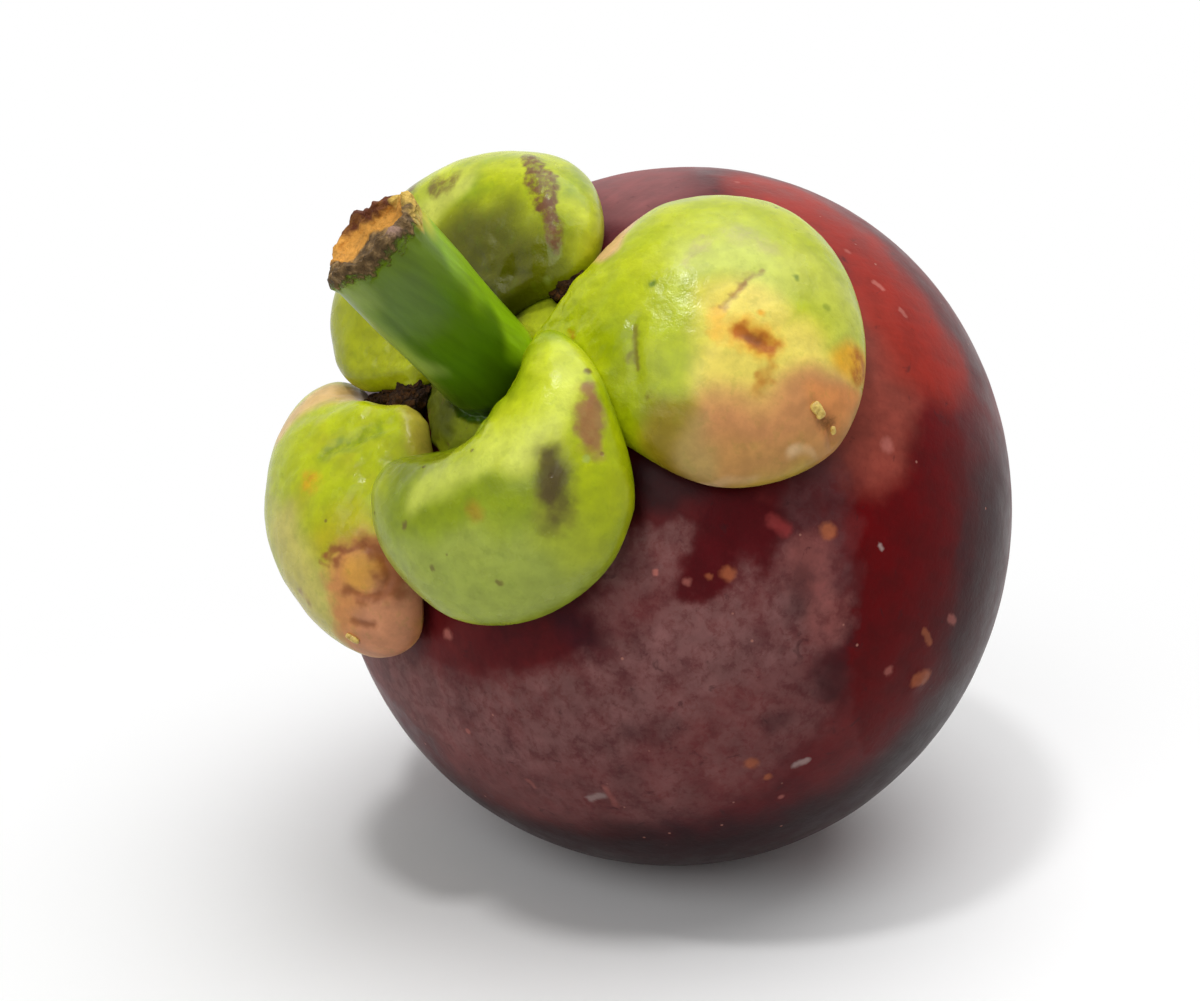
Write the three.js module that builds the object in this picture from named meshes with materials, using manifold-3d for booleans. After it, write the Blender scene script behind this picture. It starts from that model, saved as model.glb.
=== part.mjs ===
// A mangosteen lying tipped over on its rind, with its stem pointing up towards the front left.
// Units are millimetres. It stands on z = 0 with its origin in the middle of the small flat it rests on.
//
// The fruit is modelled upright in a frame of its own and then leaned over. That frame has its origin in the
// middle of the fruit and +Z along the core towards the stem. Azimuths are degrees about that Z, counted
// from the side which ends up nearest the ground.
import * as THREE from "three";
import { mergeVertices } from "three/addons/utils/BufferGeometryUtils.js";
import Module from "manifold-3d";

// ---- driving dimensions ----

const EQUATOR_RADIUS = 31;
const CROWN_HEIGHT = 27.6; // from the middle up to the rind under the stem
const BLOSSOM_HEIGHT = 27.9; // from the middle down to the blossom end
const CROWN_DIMPLE = 1.1; // how deep the stem sits in the crown
const DIMPLE_ANGLE = 17; // reach of that dimple from the core, degrees

const LEAN = 58.9; // of the core from upright, degrees
const LEAN_HEADING = -127.5; // where the crown leans to, degrees from +X
const REST_FLAT_DEPTH = 0.75; // how much of the round rind the flat takes away

const STEM_RADIUS = 4.05;
const STEM_LENGTH = 18.5; // along its own middle line
const STEM_TILT = 11.5; // of the stem from the core, degrees
const STEM_TILT_AZIMUTH = 182;
const STEM_SHIFT = 2; // of stem and receptacle from the core
const STEM_SHIFT_AZIMUTH = 150;
const RECEPTACLE_RADIUS = 7.4; // the swelling that carries stem and sepals
const RECEPTACLE_HEIGHT = 1.6;

const SEPAL_THICKNESS = 2.7;
const SEPAL_RIM_THICKNESS = 1.4;
const CLEARANCE = 0.3; // between pieces that grow together in the real fruit

const RIND_MM_PER_RADIAN = 29; // distance along the rind from the crown, per radian of polar angle

// Unevenness round the core, as sums of waves: each is a height, a number of waves per turn and a phase in
// radians.
const RIND_LUMPS = [[0.28, 2, 0.6], [0.2, 3, -1.1]];
const CUT_UNEVENNESS = [[1.45, 1, 0.26], [0.35, 2, 0.52], [0.15, 5, 1]];
const STEM_CORNERS = [[0.035, 4, 2.5]]; // as a part of the radius

// Each sepal grows out of the receptacle at its azimuth. Its spine is its profile from base to tip, as pairs
// of distance along the rind and height above it. The edge on each side, of falling and of rising azimuth, is
// a list of distances from the spine, base to tip. Hem is the height of those two edges above the rind, and
// bend how far the tip swings round, in degrees. Fullness is the power of the bulge between the edges: the
// smaller, the boxier.
const SEPALS = [
  {
    name: "sepal_front",
    azimuth: 40,
    bend: 7,
    spine: [[5.6, 1.6], [6.8, 5.0], [9.0, 6.8], [12.6, 6.2], [16.2, 4.2], [18.2, 1.3]],
    falling: [4.5, 9.5, 11.0, 9.5],
    rising: [4.5, 12.6, 10.9, 9.2],
    hem: [4.0, 3.4],
    fullness: 0.35,
  },
  {
    name: "sepal_right",
    azimuth: 123,
    bend: 0,
    spine: [[5.6, 1.6], [9.5, 2.4], [14.5, 4.4], [20.5, 5.0], [26.6, 3.7], [30, 1.3]],
    falling: [3.2, 8.2, 14.6, 15.0],
    rising: [2.2, 6.6, 12.4, 11.6],
    hem: [1.3, 1.3],
    fullness: 0.55,
  },
  {
    name: "sepal_back",
    azimuth: -136,
    bend: 0,
    spine: [[5.6, 1.4], [9.4, 2.3], [13.0, 5.2], [16.8, 6.9], [21.0, 5.3], [24.2, 1.3]],
    falling: [4.0, 14.8, 16.8, 14.2],
    rising: [6.0, 11.4, 11.6, 11.6],
    hem: [1.6, 2.8],
    fullness: 0.5,
  },
  {
    name: "sepal_left",
    azimuth: -56,
    bend: 22,
    spine: [[5.6, 1.6], [9.5, 3.4], [14.0, 6.2], [18.4, 6.4], [21.2, 4.2], [22.3, 1.3]],
    falling: [1.5, 3.5, 6.8, 12.0, 14.0, 14.0, 13.4],
    rising: [4.0, 9.0, 13.0, 10.4],
    hem: [1.3, 1.3],
    fullness: 0.45,
  },
];

// The dry stigma on the blossom end, a flat rosette of wedges.
const STIGMA_LOBES = 6;
const STIGMA_RADIUS = 5.6;
const STIGMA_THICKNESS = 1.2;
const STIGMA_NOTCH = 0.34; // depth of the notches between its lobes, as a part of the radius

// Dark dried scabs in the gaps either side of the back sepal, where petals dropped off.
const SCABS = [
  { name: "petal_scab_right", azimuth: 157, distance: 11.6, long: 2.4, wide: 1.5, high: 1.0, turn: 20 },
  { name: "petal_scab_left", azimuth: -79, distance: 7.6, long: 2.5, wide: 1.5, high: 1.1, turn: -15 },
];

const SEPAL_FACES_LONG = 18;
const SEPAL_FACES_WIDE = 16;
const RIND_FACES_ROUND = 48;
const RIND_FACES_DOWN = 30;
const STEM_FACES_ROUND = 28;

// ---- helpers ----

const radians = THREE.MathUtils.degToRad;
const mix = THREE.MathUtils.lerp;
const wasm = await Module();
wasm.setup();

function waves(list, angle) {
  return list.reduce((sum, [size, count, phase]) => sum + size * Math.sin(count * angle + phase), 0);
}

function reshape(geometry, place) {
  const position = geometry.getAttribute("position");
  const point = new THREE.Vector3();
  for (let i = 0; i < position.count; i++) {
    point.fromBufferAttribute(position, i);
    const moved = place(point);
    position.setXYZ(i, moved.x, moved.y, moved.z);
  }
  return closed(geometry);
}

function closed(geometry) {
  geometry.deleteAttribute("normal");
  geometry.deleteAttribute("uv");
  const merged = mergeVertices(geometry, 1e-4);
  merged.computeVertexNormals();
  return merged;
}

function solidOf(geometry) {
  return new wasm.Manifold(
    new wasm.Mesh({
      numProp: 3,
      vertProperties: new Float32Array(geometry.getAttribute("position").array),
      triVerts: new Uint32Array(geometry.index.array),
    }),
  );
}

// What is left of a body once the others, each grown by the clearance, are cut away from it.
function clearOf(geometry, others) {
  let solid = solidOf(geometry);
  for (const other of others) {
    solid = solid.subtract(solidOf(grown(other, CLEARANCE)));
  }
  const pieces = solid.decompose().sort((a, b) => b.volume() - a.volume());
  return geometryOf(pieces[0]);
}

function grown(geometry, by) {
  const larger = geometry.clone();
  const position = larger.getAttribute("position");
  const normal = larger.getAttribute("normal");
  for (let i = 0; i < position.count; i++) {
    const point = new THREE.Vector3().fromBufferAttribute(position, i);
    point.addScaledVector(new THREE.Vector3().fromBufferAttribute(normal, i), by);
    position.setXYZ(i, point.x, point.y, point.z);
  }
  return larger;
}

function geometryOf(solid) {
  const mesh = solid.getMesh();
  const geometry = new THREE.BufferGeometry();
  geometry.setAttribute("position", new THREE.BufferAttribute(mesh.vertProperties, 3));
  geometry.setIndex(new THREE.BufferAttribute(mesh.triVerts, 1));
  geometry.computeVertexNormals();
  return geometry;
}

function named(name, geometry, material) {
  const mesh = new THREE.Mesh(geometry, material);
  mesh.name = name;
  return mesh;
}

// ---- the rind ----

// How far the rind is from the middle of the fruit, at a polar angle and an azimuth in radians.
function rindRadius(polar, azimuth) {
  const height = polar < Math.PI / 2 ? CROWN_HEIGHT : BLOSSOM_HEIGHT;
  const round = 1 / Math.hypot(Math.sin(polar) / EQUATOR_RADIUS, Math.cos(polar) / height);
  const dimple = CROWN_DIMPLE * Math.exp(-((polar / radians(DIMPLE_ANGLE)) ** 2));
  return round - dimple + Math.sin(polar) ** 2 * waves(RIND_LUMPS, azimuth);
}

// The point at a distance along the rind from the crown, raised above it by a height.
function aboveRind(distance, azimuth, height) {
  const polar = distance / RIND_MM_PER_RADIAN;
  const at = new THREE.Vector3().setFromSphericalCoords(rindRadius(polar, azimuth), polar, azimuth);
  at.set(at.z, at.x, at.y); // from three.js' Y-up sphere to Z up, azimuth from +X
  const capHeight = polar < Math.PI / 2 ? CROWN_HEIGHT : BLOSSOM_HEIGHT;
  const normal = new THREE.Vector3(
    at.x / EQUATOR_RADIUS ** 2,
    at.y / EQUATOR_RADIUS ** 2,
    at.z / capHeight ** 2,
  ).normalize();
  return at.addScaledVector(normal, height);
}

function rindGeometry() {
  const sphere = new THREE.SphereGeometry(1, RIND_FACES_ROUND, RIND_FACES_DOWN);
  sphere.rotateX(Math.PI / 2);
  return reshape(sphere, (p) =>
    p.clone().setLength(rindRadius(Math.acos(THREE.MathUtils.clamp(p.z, -1, 1)), Math.atan2(p.y, p.x))),
  );
}

// ---- the sepals ----

// The value part way along a list of evenly spaced values, eased from one to the next.
function along(values, part) {
  const curve = new THREE.SplineCurve(values.map((value, i) => new THREE.Vector2(i, value)));
  return curve.getPoint(THREE.MathUtils.clamp(part, 0, 1)).y;
}

// The middle surface of a sepal. u runs from -1 at the base to 1 at the tip and v from side to side.
function sepalSheet(sepal, u, v) {
  const roundness = mix(0.5, 1, THREE.MathUtils.smoothstep(u, -1, 0.2));
  const part = (1 + u * Math.sqrt(1 - (roundness * v * v) / 2)) / 2;
  const side = v * Math.sqrt(1 - (roundness * u * u) / 2);
  const distance = along(sepal.spine.map((knot) => knot[0]), part);
  const ridge = along(sepal.spine.map((knot) => knot[1]), part);
  const aside = side * along(side < 0 ? sepal.falling : sepal.rising, part);
  const around = aside / (EQUATOR_RADIUS * Math.sin(distance / RIND_MM_PER_RADIAN));
  const bulge = (1 - v * v) ** sepal.fullness;
  const towardsTip = THREE.MathUtils.smoothstep(part, 0.5, 1);
  const edge = mix(mix(sepal.hem[0], sepal.hem[1], (v + 1) / 2), sepal.spine.at(-1)[1], towardsTip);
  return aboveRind(distance, radians(sepal.azimuth + sepal.bend * part) + around, mix(edge, ridge, bulge));
}

function sepalGeometry(sepal) {
  const block = new THREE.BoxGeometry(2, 2, 2, SEPAL_FACES_LONG, SEPAL_FACES_WIDE, 2);
  const step = 0.02;
  return reshape(block, ({ x: u, y: v, z: layer }) => {
    const inU = THREE.MathUtils.clamp(u, step - 1, 1 - step);
    const inV = THREE.MathUtils.clamp(v, step - 1, 1 - step);
    const alongU = sepalSheet(sepal, inU + step, inV).sub(sepalSheet(sepal, inU - step, inV));
    const alongV = sepalSheet(sepal, inU, inV + step).sub(sepalSheet(sepal, inU, inV - step));
    const normal = alongU.cross(alongV).normalize();
    const fullness = Math.sqrt((1 - v ** 4) * (1 - Math.max(u, 0) ** 4));
    const thickness = mix(SEPAL_RIM_THICKNESS, SEPAL_THICKNESS, fullness);
    return sepalSheet(sepal, u, v).addScaledVector(normal, (layer * thickness) / 2);
  });
}

// ---- the stem ----

// The swelling under the sepals and the cut stalk, turned as one about the core.
function stemGeometry() {
  const profile = [
    [0, 0],
    [RECEPTACLE_RADIUS * 0.7, -0.1],
    [RECEPTACLE_RADIUS - 0.2, 0],
    [RECEPTACLE_RADIUS, RECEPTACLE_HEIGHT * 0.3],
    [RECEPTACLE_RADIUS - 1.6, RECEPTACLE_HEIGHT * 0.8],
    [STEM_RADIUS - 0.3, RECEPTACLE_HEIGHT],
    [STEM_RADIUS, RECEPTACLE_HEIGHT + 1.2],
    [STEM_RADIUS - 0.1, STEM_LENGTH * 0.45],
    [STEM_RADIUS, STEM_LENGTH * 0.65],
    [STEM_RADIUS + 0.1, STEM_LENGTH * 0.85],
    [STEM_RADIUS + 0.1, STEM_LENGTH - 0.5],
    [STEM_RADIUS - 0.5, STEM_LENGTH],
    [STEM_RADIUS - 1.4, STEM_LENGTH - 0.8],
    [STEM_RADIUS * 0.3, STEM_LENGTH - 1.2],
    [0, STEM_LENGTH - 1.1],
  ].map(([radius, height]) => new THREE.Vector2(radius, height));
  const lathe = new THREE.LatheGeometry(profile, STEM_FACES_ROUND);
  lathe.rotateX(Math.PI / 2);
  return reshape(lathe, (p) => leanedStem(squaredOff(p)));
}

// A rounded square section, with an uneven cut at the top.
function squaredOff(p) {
  const angle = Math.atan2(p.y, p.x);
  const height = THREE.MathUtils.smoothstep(p.z, RECEPTACLE_HEIGHT, STEM_LENGTH * 0.5);
  const width = 1 + height * waves(STEM_CORNERS, angle);
  const nearCut = THREE.MathUtils.smoothstep(p.z, STEM_LENGTH * 0.8, STEM_LENGTH);
  const offCentre = Math.min(Math.hypot(p.x, p.y) / STEM_RADIUS, 1);
  const raised = nearCut * offCentre * waves(CUT_UNEVENNESS, angle);
  return new THREE.Vector3(p.x * width, p.y * width, p.z + raised);
}

// Leans the stalk over, leaving the swelling level, and sets both on the crown, a little off the core.
function leanedStem(p) {
  const towards = radians(STEM_TILT_AZIMUTH);
  const axis = new THREE.Vector3(-Math.sin(towards), Math.cos(towards), 0);
  const leaned = p.clone().applyAxisAngle(axis, radians(STEM_TILT));
  const aside = radians(STEM_SHIFT_AZIMUTH);
  const onCrown = new THREE.Vector3(Math.cos(aside), Math.sin(aside), 0).multiplyScalar(STEM_SHIFT);
  onCrown.z = CROWN_HEIGHT - CROWN_DIMPLE + CLEARANCE;
  return p.lerp(leaned, THREE.MathUtils.smoothstep(p.z, 0, RECEPTACLE_HEIGHT * 1.5)).add(onCrown);
}

// ---- small things ----

// The rosette on the blossom end: thickest half way out, hollow in the middle, notched between its lobes.
function stigmaGeometry() {
  const profile = [
    [0, 0],
    [STIGMA_RADIUS * 0.5, 0],
    [STIGMA_RADIUS * 0.97, 0],
    [STIGMA_RADIUS, STIGMA_THICKNESS * 0.3],
    [STIGMA_RADIUS * 0.9, STIGMA_THICKNESS * 0.75],
    [STIGMA_RADIUS * 0.55, STIGMA_THICKNESS],
    [STIGMA_RADIUS * 0.25, STIGMA_THICKNESS * 0.7],
    [0, STIGMA_THICKNESS * 0.6],
  ].map(([radius, height]) => new THREE.Vector2(radius, height));
  const lathe = new THREE.LatheGeometry(profile, STIGMA_LOBES * 8);
  lathe.rotateX(Math.PI / 2);
  const outside = Math.PI * RIND_MM_PER_RADIAN;
  return reshape(lathe, (p) => {
    const azimuth = Math.atan2(-p.y, p.x); // turned round, as it faces away from the crown
    const out = Math.hypot(p.x, p.y) / STIGMA_RADIUS;
    const notch = STIGMA_NOTCH * out * Math.abs(Math.cos((azimuth * STIGMA_LOBES) / 2)) ** 6;
    return aboveRind(outside - out * (1 - notch) * STIGMA_RADIUS, azimuth, p.z + CLEARANCE);
  });
}

function scabGeometry(scab) {
  const lump = new THREE.IcosahedronGeometry(1, 3);
  const turn = radians(scab.turn);
  return reshape(lump, (p) => {
    const broad = 0.12 * Math.sin(5 * p.x + 2) * Math.sin(4 * p.y - 1);
    const rough = 1 + broad + 0.08 * Math.sin(9 * p.z + 3 * p.x);
    const x = p.x * scab.wide * rough;
    const y = p.y * scab.long * rough;
    const outward = x * Math.cos(turn) - y * Math.sin(turn);
    const aside = x * Math.sin(turn) + y * Math.cos(turn);
    const height = scab.high + CLEARANCE + p.z * scab.high * rough;
    return aboveRind(scab.distance + outward, radians(scab.azimuth) + aside / scab.distance, height);
  });
}

// ---- the assembled fruit ----

const rindSkin = new THREE.MeshStandardMaterial({ color: 0x3f1820, roughness: 0.42, metalness: 0 });
const sepalSkin = new THREE.MeshStandardMaterial({ color: 0xa9b52b, roughness: 0.45, metalness: 0 });
const drySkin = new THREE.MeshStandardMaterial({ color: 0x3a2216, roughness: 0.85, metalness: 0 });
const stemSkin = new THREE.MeshStandardMaterial({ color: 0x4c7d14, roughness: 0.4, metalness: 0 });

// Turns the upright fruit so that its crown leans over, and sets it on the ground.
function layDown(fruit) {
  fruit.rotation.set(0, radians(LEAN), radians(LEAN_HEADING), "ZYX");
  const lowest = lowestOfRind(fruit.quaternion.clone().invert()).applyQuaternion(fruit.quaternion);
  fruit.position.set(-lowest.x, -lowest.y, -lowest.z - REST_FLAT_DEPTH);
  fruit.updateMatrix();
}

// The point of the round rind, without its lumps, that a plane touches from below once the fruit is turned.
function lowestOfRind(toUpright) {
  const down = new THREE.Vector3(0, 0, -1).applyQuaternion(toUpright);
  const capHeight = down.z > 0 ? CROWN_HEIGHT : BLOSSOM_HEIGHT;
  const squares = new THREE.Vector3(EQUATOR_RADIUS ** 2, EQUATOR_RADIUS ** 2, capHeight ** 2);
  const touching = squares.multiply(down);
  return touching.divideScalar(Math.sqrt(touching.dot(down)));
}

// The rind with its resting place cut flat, level with the ground.
function restingRind(rind, fruit) {
  const depth = EQUATOR_RADIUS;
  const ground = new THREE.BoxGeometry(4 * depth, 4 * depth, depth).translate(0, 0, -depth / 2);
  ground.applyMatrix4(fruit.matrix.clone().invert());
  return geometryOf(solidOf(rind).subtract(solidOf(closed(ground))));
}

const fruit = new THREE.Group();
const rind = rindGeometry();
layDown(fruit);
fruit.add(named("rind", restingRind(rind, fruit), rindSkin));
const stem = stemGeometry();
fruit.add(named("stem", stem, stemSkin));
const sepals = SEPALS.map(sepalGeometry);
SEPALS.forEach(({ name }, i) => {
  fruit.add(named(name, clearOf(sepals[i], [stem, ...sepals.slice(0, i)]), sepalSkin));
});
for (const scab of SCABS) {
  fruit.add(named(scab.name, clearOf(scabGeometry(scab), [stem, ...sepals]), drySkin));
}
fruit.add(named("stigma", stigmaGeometry(), drySkin));

const mangosteen = new THREE.Group();
mangosteen.add(fruit);

export default mangosteen;
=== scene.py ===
from math import cos, pi, radians, sin, sqrt

import bmesh
import bpy
import numpy as np
from mathutils import Matrix, Vector, noise


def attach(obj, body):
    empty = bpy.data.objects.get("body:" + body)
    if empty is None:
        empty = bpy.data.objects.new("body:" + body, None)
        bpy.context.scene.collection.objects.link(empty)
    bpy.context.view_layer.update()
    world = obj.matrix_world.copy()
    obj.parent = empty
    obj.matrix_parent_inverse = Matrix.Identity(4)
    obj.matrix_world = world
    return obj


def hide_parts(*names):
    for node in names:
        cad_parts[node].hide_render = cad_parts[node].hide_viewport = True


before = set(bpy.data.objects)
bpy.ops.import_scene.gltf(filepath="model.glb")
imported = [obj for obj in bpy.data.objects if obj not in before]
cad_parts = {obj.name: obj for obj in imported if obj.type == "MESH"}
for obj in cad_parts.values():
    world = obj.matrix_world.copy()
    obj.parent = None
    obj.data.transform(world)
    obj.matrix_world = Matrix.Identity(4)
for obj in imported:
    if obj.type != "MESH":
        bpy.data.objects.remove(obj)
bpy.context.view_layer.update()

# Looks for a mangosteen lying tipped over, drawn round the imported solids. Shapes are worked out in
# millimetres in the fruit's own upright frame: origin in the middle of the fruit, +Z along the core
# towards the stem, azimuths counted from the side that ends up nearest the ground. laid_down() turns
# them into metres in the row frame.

MM = 0.001

# ---- driving dimensions, in millimetres and degrees, as the solids have them ----

EQUATOR_RADIUS = 31
CROWN_HEIGHT = 27.6
BLOSSOM_HEIGHT = 27.9
CROWN_DIMPLE = 1.1
DIMPLE_ANGLE = 17
RIND_MM_PER_RADIAN = 29

LEAN = 58.9
LEAN_HEADING = -127.5
REST_FLAT_DEPTH = 0.75

STEM_RADIUS = 4.05
STEM_LENGTH = 18.5
STEM_TILT = 11.5
STEM_TILT_AZIMUTH = 182
STEM_SHIFT = 2  # of stem and receptacle from the core
STEM_SHIFT_AZIMUTH = 150
RECEPTACLE_RADIUS = 7.4
RECEPTACLE_HEIGHT = 1.6

# Waves round the core or the stem's axis: height or share of the radius, count and phase.
RIND_LUMPS = [(0.28, 2, 0.6), (0.2, 3, -1.1)]
STEM_CORNERS = [(0.035, 4, 2.5)]
CUT_UNEVENNESS = [(1.45, 1, 0.26), (0.35, 2, 0.52), (0.15, 5, 1)]

SEPAL_THICKNESS = 2.7
SEPAL_RIM_THICKNESS = 1.4

# Each sepal's spine is its profile from base to tip: distance along the rind and height above it.
# falling and rising are the distances of its two edges from the spine, base to tip, hem their heights,
# and bend the swing of its tip in degrees. seed sets the noise of its relief. Its creases are paths of
# (u, v), a depth and a width; a raised line has a depth below nought.
SEPALS = {
    "sepal_front": dict(
        azimuth=40, bend=7,
        spine=[(5.6, 1.6), (6.8, 5), (9, 6.8), (12.6, 6.2), (16.2, 4.2), (18.2, 1.3)],
        falling=[4.5, 9.5, 11, 9.5],
        rising=[4.5, 12.6, 10.9, 9.2],
        hem=[4, 3.4], fullness=0.35, seed=1.3,
        creases=[
            ([(-0.9, 0.3), (-0.5, 0.1)], 0.2, 0.8),
            ([(0.15, 0.5), (0.3, 0.42)], 0.15, 1),
        ],
    ),
    "sepal_right": dict(
        azimuth=123, bend=0,
        spine=[(5.6, 1.6), (9.5, 2.4), (14.5, 4.4), (20.5, 5), (26.6, 3.7), (30, 1.3)],
        falling=[3.2, 8.2, 14.6, 15],
        rising=[2.2, 6.6, 12.4, 11.6],
        hem=[1.3, 1.3], fullness=0.55, seed=4.1,
        creases=[
            ([(-0.2, -0.15), (-0.2, -0.55)], 0.22, 0.35),
            ([(0.31, 0.06), (0.2, -0.07), (0.14, -0.14)], 0.15, 0.25),
            ([(0.82, -0.85), (0.73, -0.76), (0.66, -0.7)], 0.45, 0.45),
            ([(0.21, -0.27), (0.33, -0.33)], 0.18, 0.4),
        ],
    ),
    "sepal_back": dict(
        azimuth=-136, bend=0,
        spine=[(5.6, 1.4), (9.4, 2.3), (13, 5.2), (16.8, 6.9), (21, 5.3), (24.2, 1.3)],
        falling=[4, 14.8, 16.8, 14.2],
        rising=[6, 11.4, 11.6, 11.6],
        hem=[1.6, 2.8], fullness=0.5, seed=7.7,
        creases=[
            ([(0.3, -0.67), (0.05, -0.75), (-0.12, -0.8), (-0.28, -0.86)], -0.12, 0.8),
            ([(-0.45, -0.97), (-0.3, -0.95)], 0.2, 0.5),
        ],
    ),
    "sepal_left": dict(
        azimuth=-56, bend=22,
        spine=[(5.6, 1.6), (9.5, 3.4), (14, 6.2), (18.4, 6.4), (21.2, 4.2), (22.3, 1.3)],
        falling=[1.5, 3.5, 6.8, 12, 14, 14, 13.4],
        rising=[4, 9, 13, 10.4],
        hem=[1.3, 1.3], fullness=0.45, seed=2.9,
        creases=[
            ([(-0.4, -0.1), (-0.55, -0.12), (-0.8, -0.15)], 0.3, 0.6),
            ([(-0.29, 0.8), (-0.28, 0.9), (-0.15, 0.94), (0, 0.9), (0.01, 0.75)], 0.25, 0.35),
            ([(-0.13, 0.56), (-0.2, 0.66), (-0.29, 0.8)], 0.15, 0.3),
            ([(0.21, 0.78), (0.22, 0.87)], 0.2, 0.3),
        ],
    ),
}

STIGMA_LOBES = 6
STIGMA_RADIUS = 5.6
STIGMA_THICKNESS = 1.2
STIGMA_NOTCH = 0.34

SCABS = {
    "petal_scab_right": dict(azimuth=157, distance=11.6, long=2.4, wide=1.5, high=1.0, turn=20),
    "petal_scab_left": dict(azimuth=-79, distance=7.6, long=2.5, wide=1.5, high=1.1, turn=-15),
}
# A shred of dried petal beside the left scab, too small for the solids.
SHREDS = {
    "petal_shred": dict(azimuth=-82, distance=10.9, long=0.8, wide=2.3, high=0.95, turn=4),
}
SCAB_RAISE = 0.3  # of a scab's underside from the rind

# ---- how finely the pieces are drawn, and their small relief in millimetres ----

SKIN_INSET = 0.12  # keeps the finer skins inside the solids' box
WELD_DISTANCE = 0.002
RIND_GRID = (200, 361)
SEPAL_GRID = (150, 130)
STEM_GRID = (230, 161)
SCAB_GRID = (40, 61)
STIGMA_GRID = (40, 145)
LATEX_GRID = (30, 33)
NORMAL_REACH, NORMAL_STEP = 0.985, 0.004
RIM_ROUNDING = 1.0
RIM_TUCK, RIM_TUCK_WIDTH = 0.7, 1.8
CUT_LIP, CUT_LIP_ANGLE, CUT_LIP_REACH = 1.0, 255, 0.5  # crust curling out over the cut's rim
STIGMA_INSET, STIGMA_SINK = 0.1, 0.08  # from the solid's top and into the rind
LATEX_SINK, LATEX_FLATNESS = 0.2, 0.7
RELIEF_FROM_RIM = 2  # where a sepal's relief is at its full height
NECK = (-0.6, 0.1)  # where along a sepal, in u, its wrinkled neck goes over into the smooth blade

# Noise over a surface: height, size, octaves and seed.
RIND_DENTS, RIND_DIMPLES = (0.05, 9, 3, 0), (0.015, 1.8, 3, 0)
SEPAL_LUMPS, SEPAL_DIMPLES, NECK_WRINKLES = (0.2, 7, 2, 0), (0.05, 2.2, 3, 0), (0.28, 2.6, 3, 5)
STEM_FIBRES, FOOT_LUMPS = (0.06, 1, 3, 8), (0.3, 1.6, 3, 4)
CUT_LUMPS, CUT_TEARS, CUT_CRUST = (0.25, 0.9, 4, 6), (0.5, 1, 4, 3), (0.3, 0.8, 4, 9)
FOOT_CRUST = 2 / 3  # of the height of the crust on the cut
# Heights up the stem: where it stands clear of its foot, in heights of the receptacle, and where its
# corners are full, its cut slants and its crust begins, in shares of its length.
CLEAR_OF_FOOT, CORNERS_FULL, CUT_SLANTS, CRUST_BEGINS = 1.5, 0.5, 0.85, 0.88
FOOT_HEIGHT, FOOT_REACH = (0.6, 3), (0, 3)  # where the foot's lumps die out, upwards and inwards
CUT_FACE = (0.72, 0.79)  # where the profile goes over into the face of the cut
FIBRES_ROUND, FIBRES_ALONG, TEARS_ROUND = 3.2, 0.05, 2.2  # noise steps to a turn and to a millimetre
SCAB_CRUMPLE, SCAB_FOLDS = (0.3, 0.8, 4, 0), (0.35, 0.7, 3, 3)
STIGMA_LUMPS = (0.2, 1.1, 4, 2)
LATEX_LUMPS = (0.35, 1.5, 3, 7)  # measured in widths of the drop

# Raised or sunken spots of the rind: distance from the crown, azimuth, size and height.
RIND_BLEMISHES = [
    (26.5, 83, 0.8, 0.3),
    (33.8, 24, 0.7, -0.15),
    (43.5, 73, 0.7, 0.2),
    (39.4, 53, 0.6, -0.12),
]

# Dried gum: the sepal it is on, its path of (u, v) and its width.
LATEX_DROPS = [
    ("sepal_right", [(0.55, -0.6), (0.59, -0.64), (0.63, -0.68)], 0.8),
    ("sepal_right", [(0.72, -0.74), (0.74, -0.77), (0.76, -0.79)], 0.4),
    ("sepal_left", [(0.33, 0.73), (0.35, 0.76), (0.38, 0.8)], 0.6),
]

# ---- what is painted where ----

# A mark is a path, a radius and a softness in millimetres, a kind of edge, a colour and a strength. An
# edge is uneven by noise: its size, its reach and its octaves.
SOFT, TORN, RAGGED, ROUGH, FINE = (5, 2.1, 1), (3, 2.2, 4), (1.5, 1.0, 4), (1.1, 0.75, 2), (0.5, 0.2, 1)
BROKEN_UP = (TORN, RAGGED)  # the edges of marks that a grain shows through
LOW, MIDDLING, HIGH = 0.3, 0.5, 0.7  # of a noise, most of which lies between them

BLOOM_AND_REFLECTION = (0.215, 0.095, 0.09)
SMUDGE = (0.03, 0.008, 0.01)
PORE = (0.4, 0.17, 0.13)
DUSTY_RED = (0.28, 0.058, 0.04)
DUSTY_PINK = (0.28, 0.08, 0.07)
BRIGHT_RED = (0.31, 0.02, 0.01)
DEEP_CRIMSON = (0.1, 0.0, 0.001)
DARK_CRIMSON = (0.07, 0.002, 0.004)
SHADED_BLOOM = (0.11, 0.04, 0.042)
GREY_PINK = (0.26, 0.1, 0.1)
NEAR_BLACK = (0.012, 0.002, 0.003)
ORANGE_SPECK = (0.42, 0.12, 0.05)
PINK_SPECK_AND_GLINT = (0.5, 0.16, 0.13)
GREY_SCRAPE_AND_GLINT = (0.4, 0.3, 0.28)
RIND_COLOURS = ((0.045, 0.005, 0.009), (0.09, 0.006, 0.008), (0.14, 0.014, 0.014))
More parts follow.
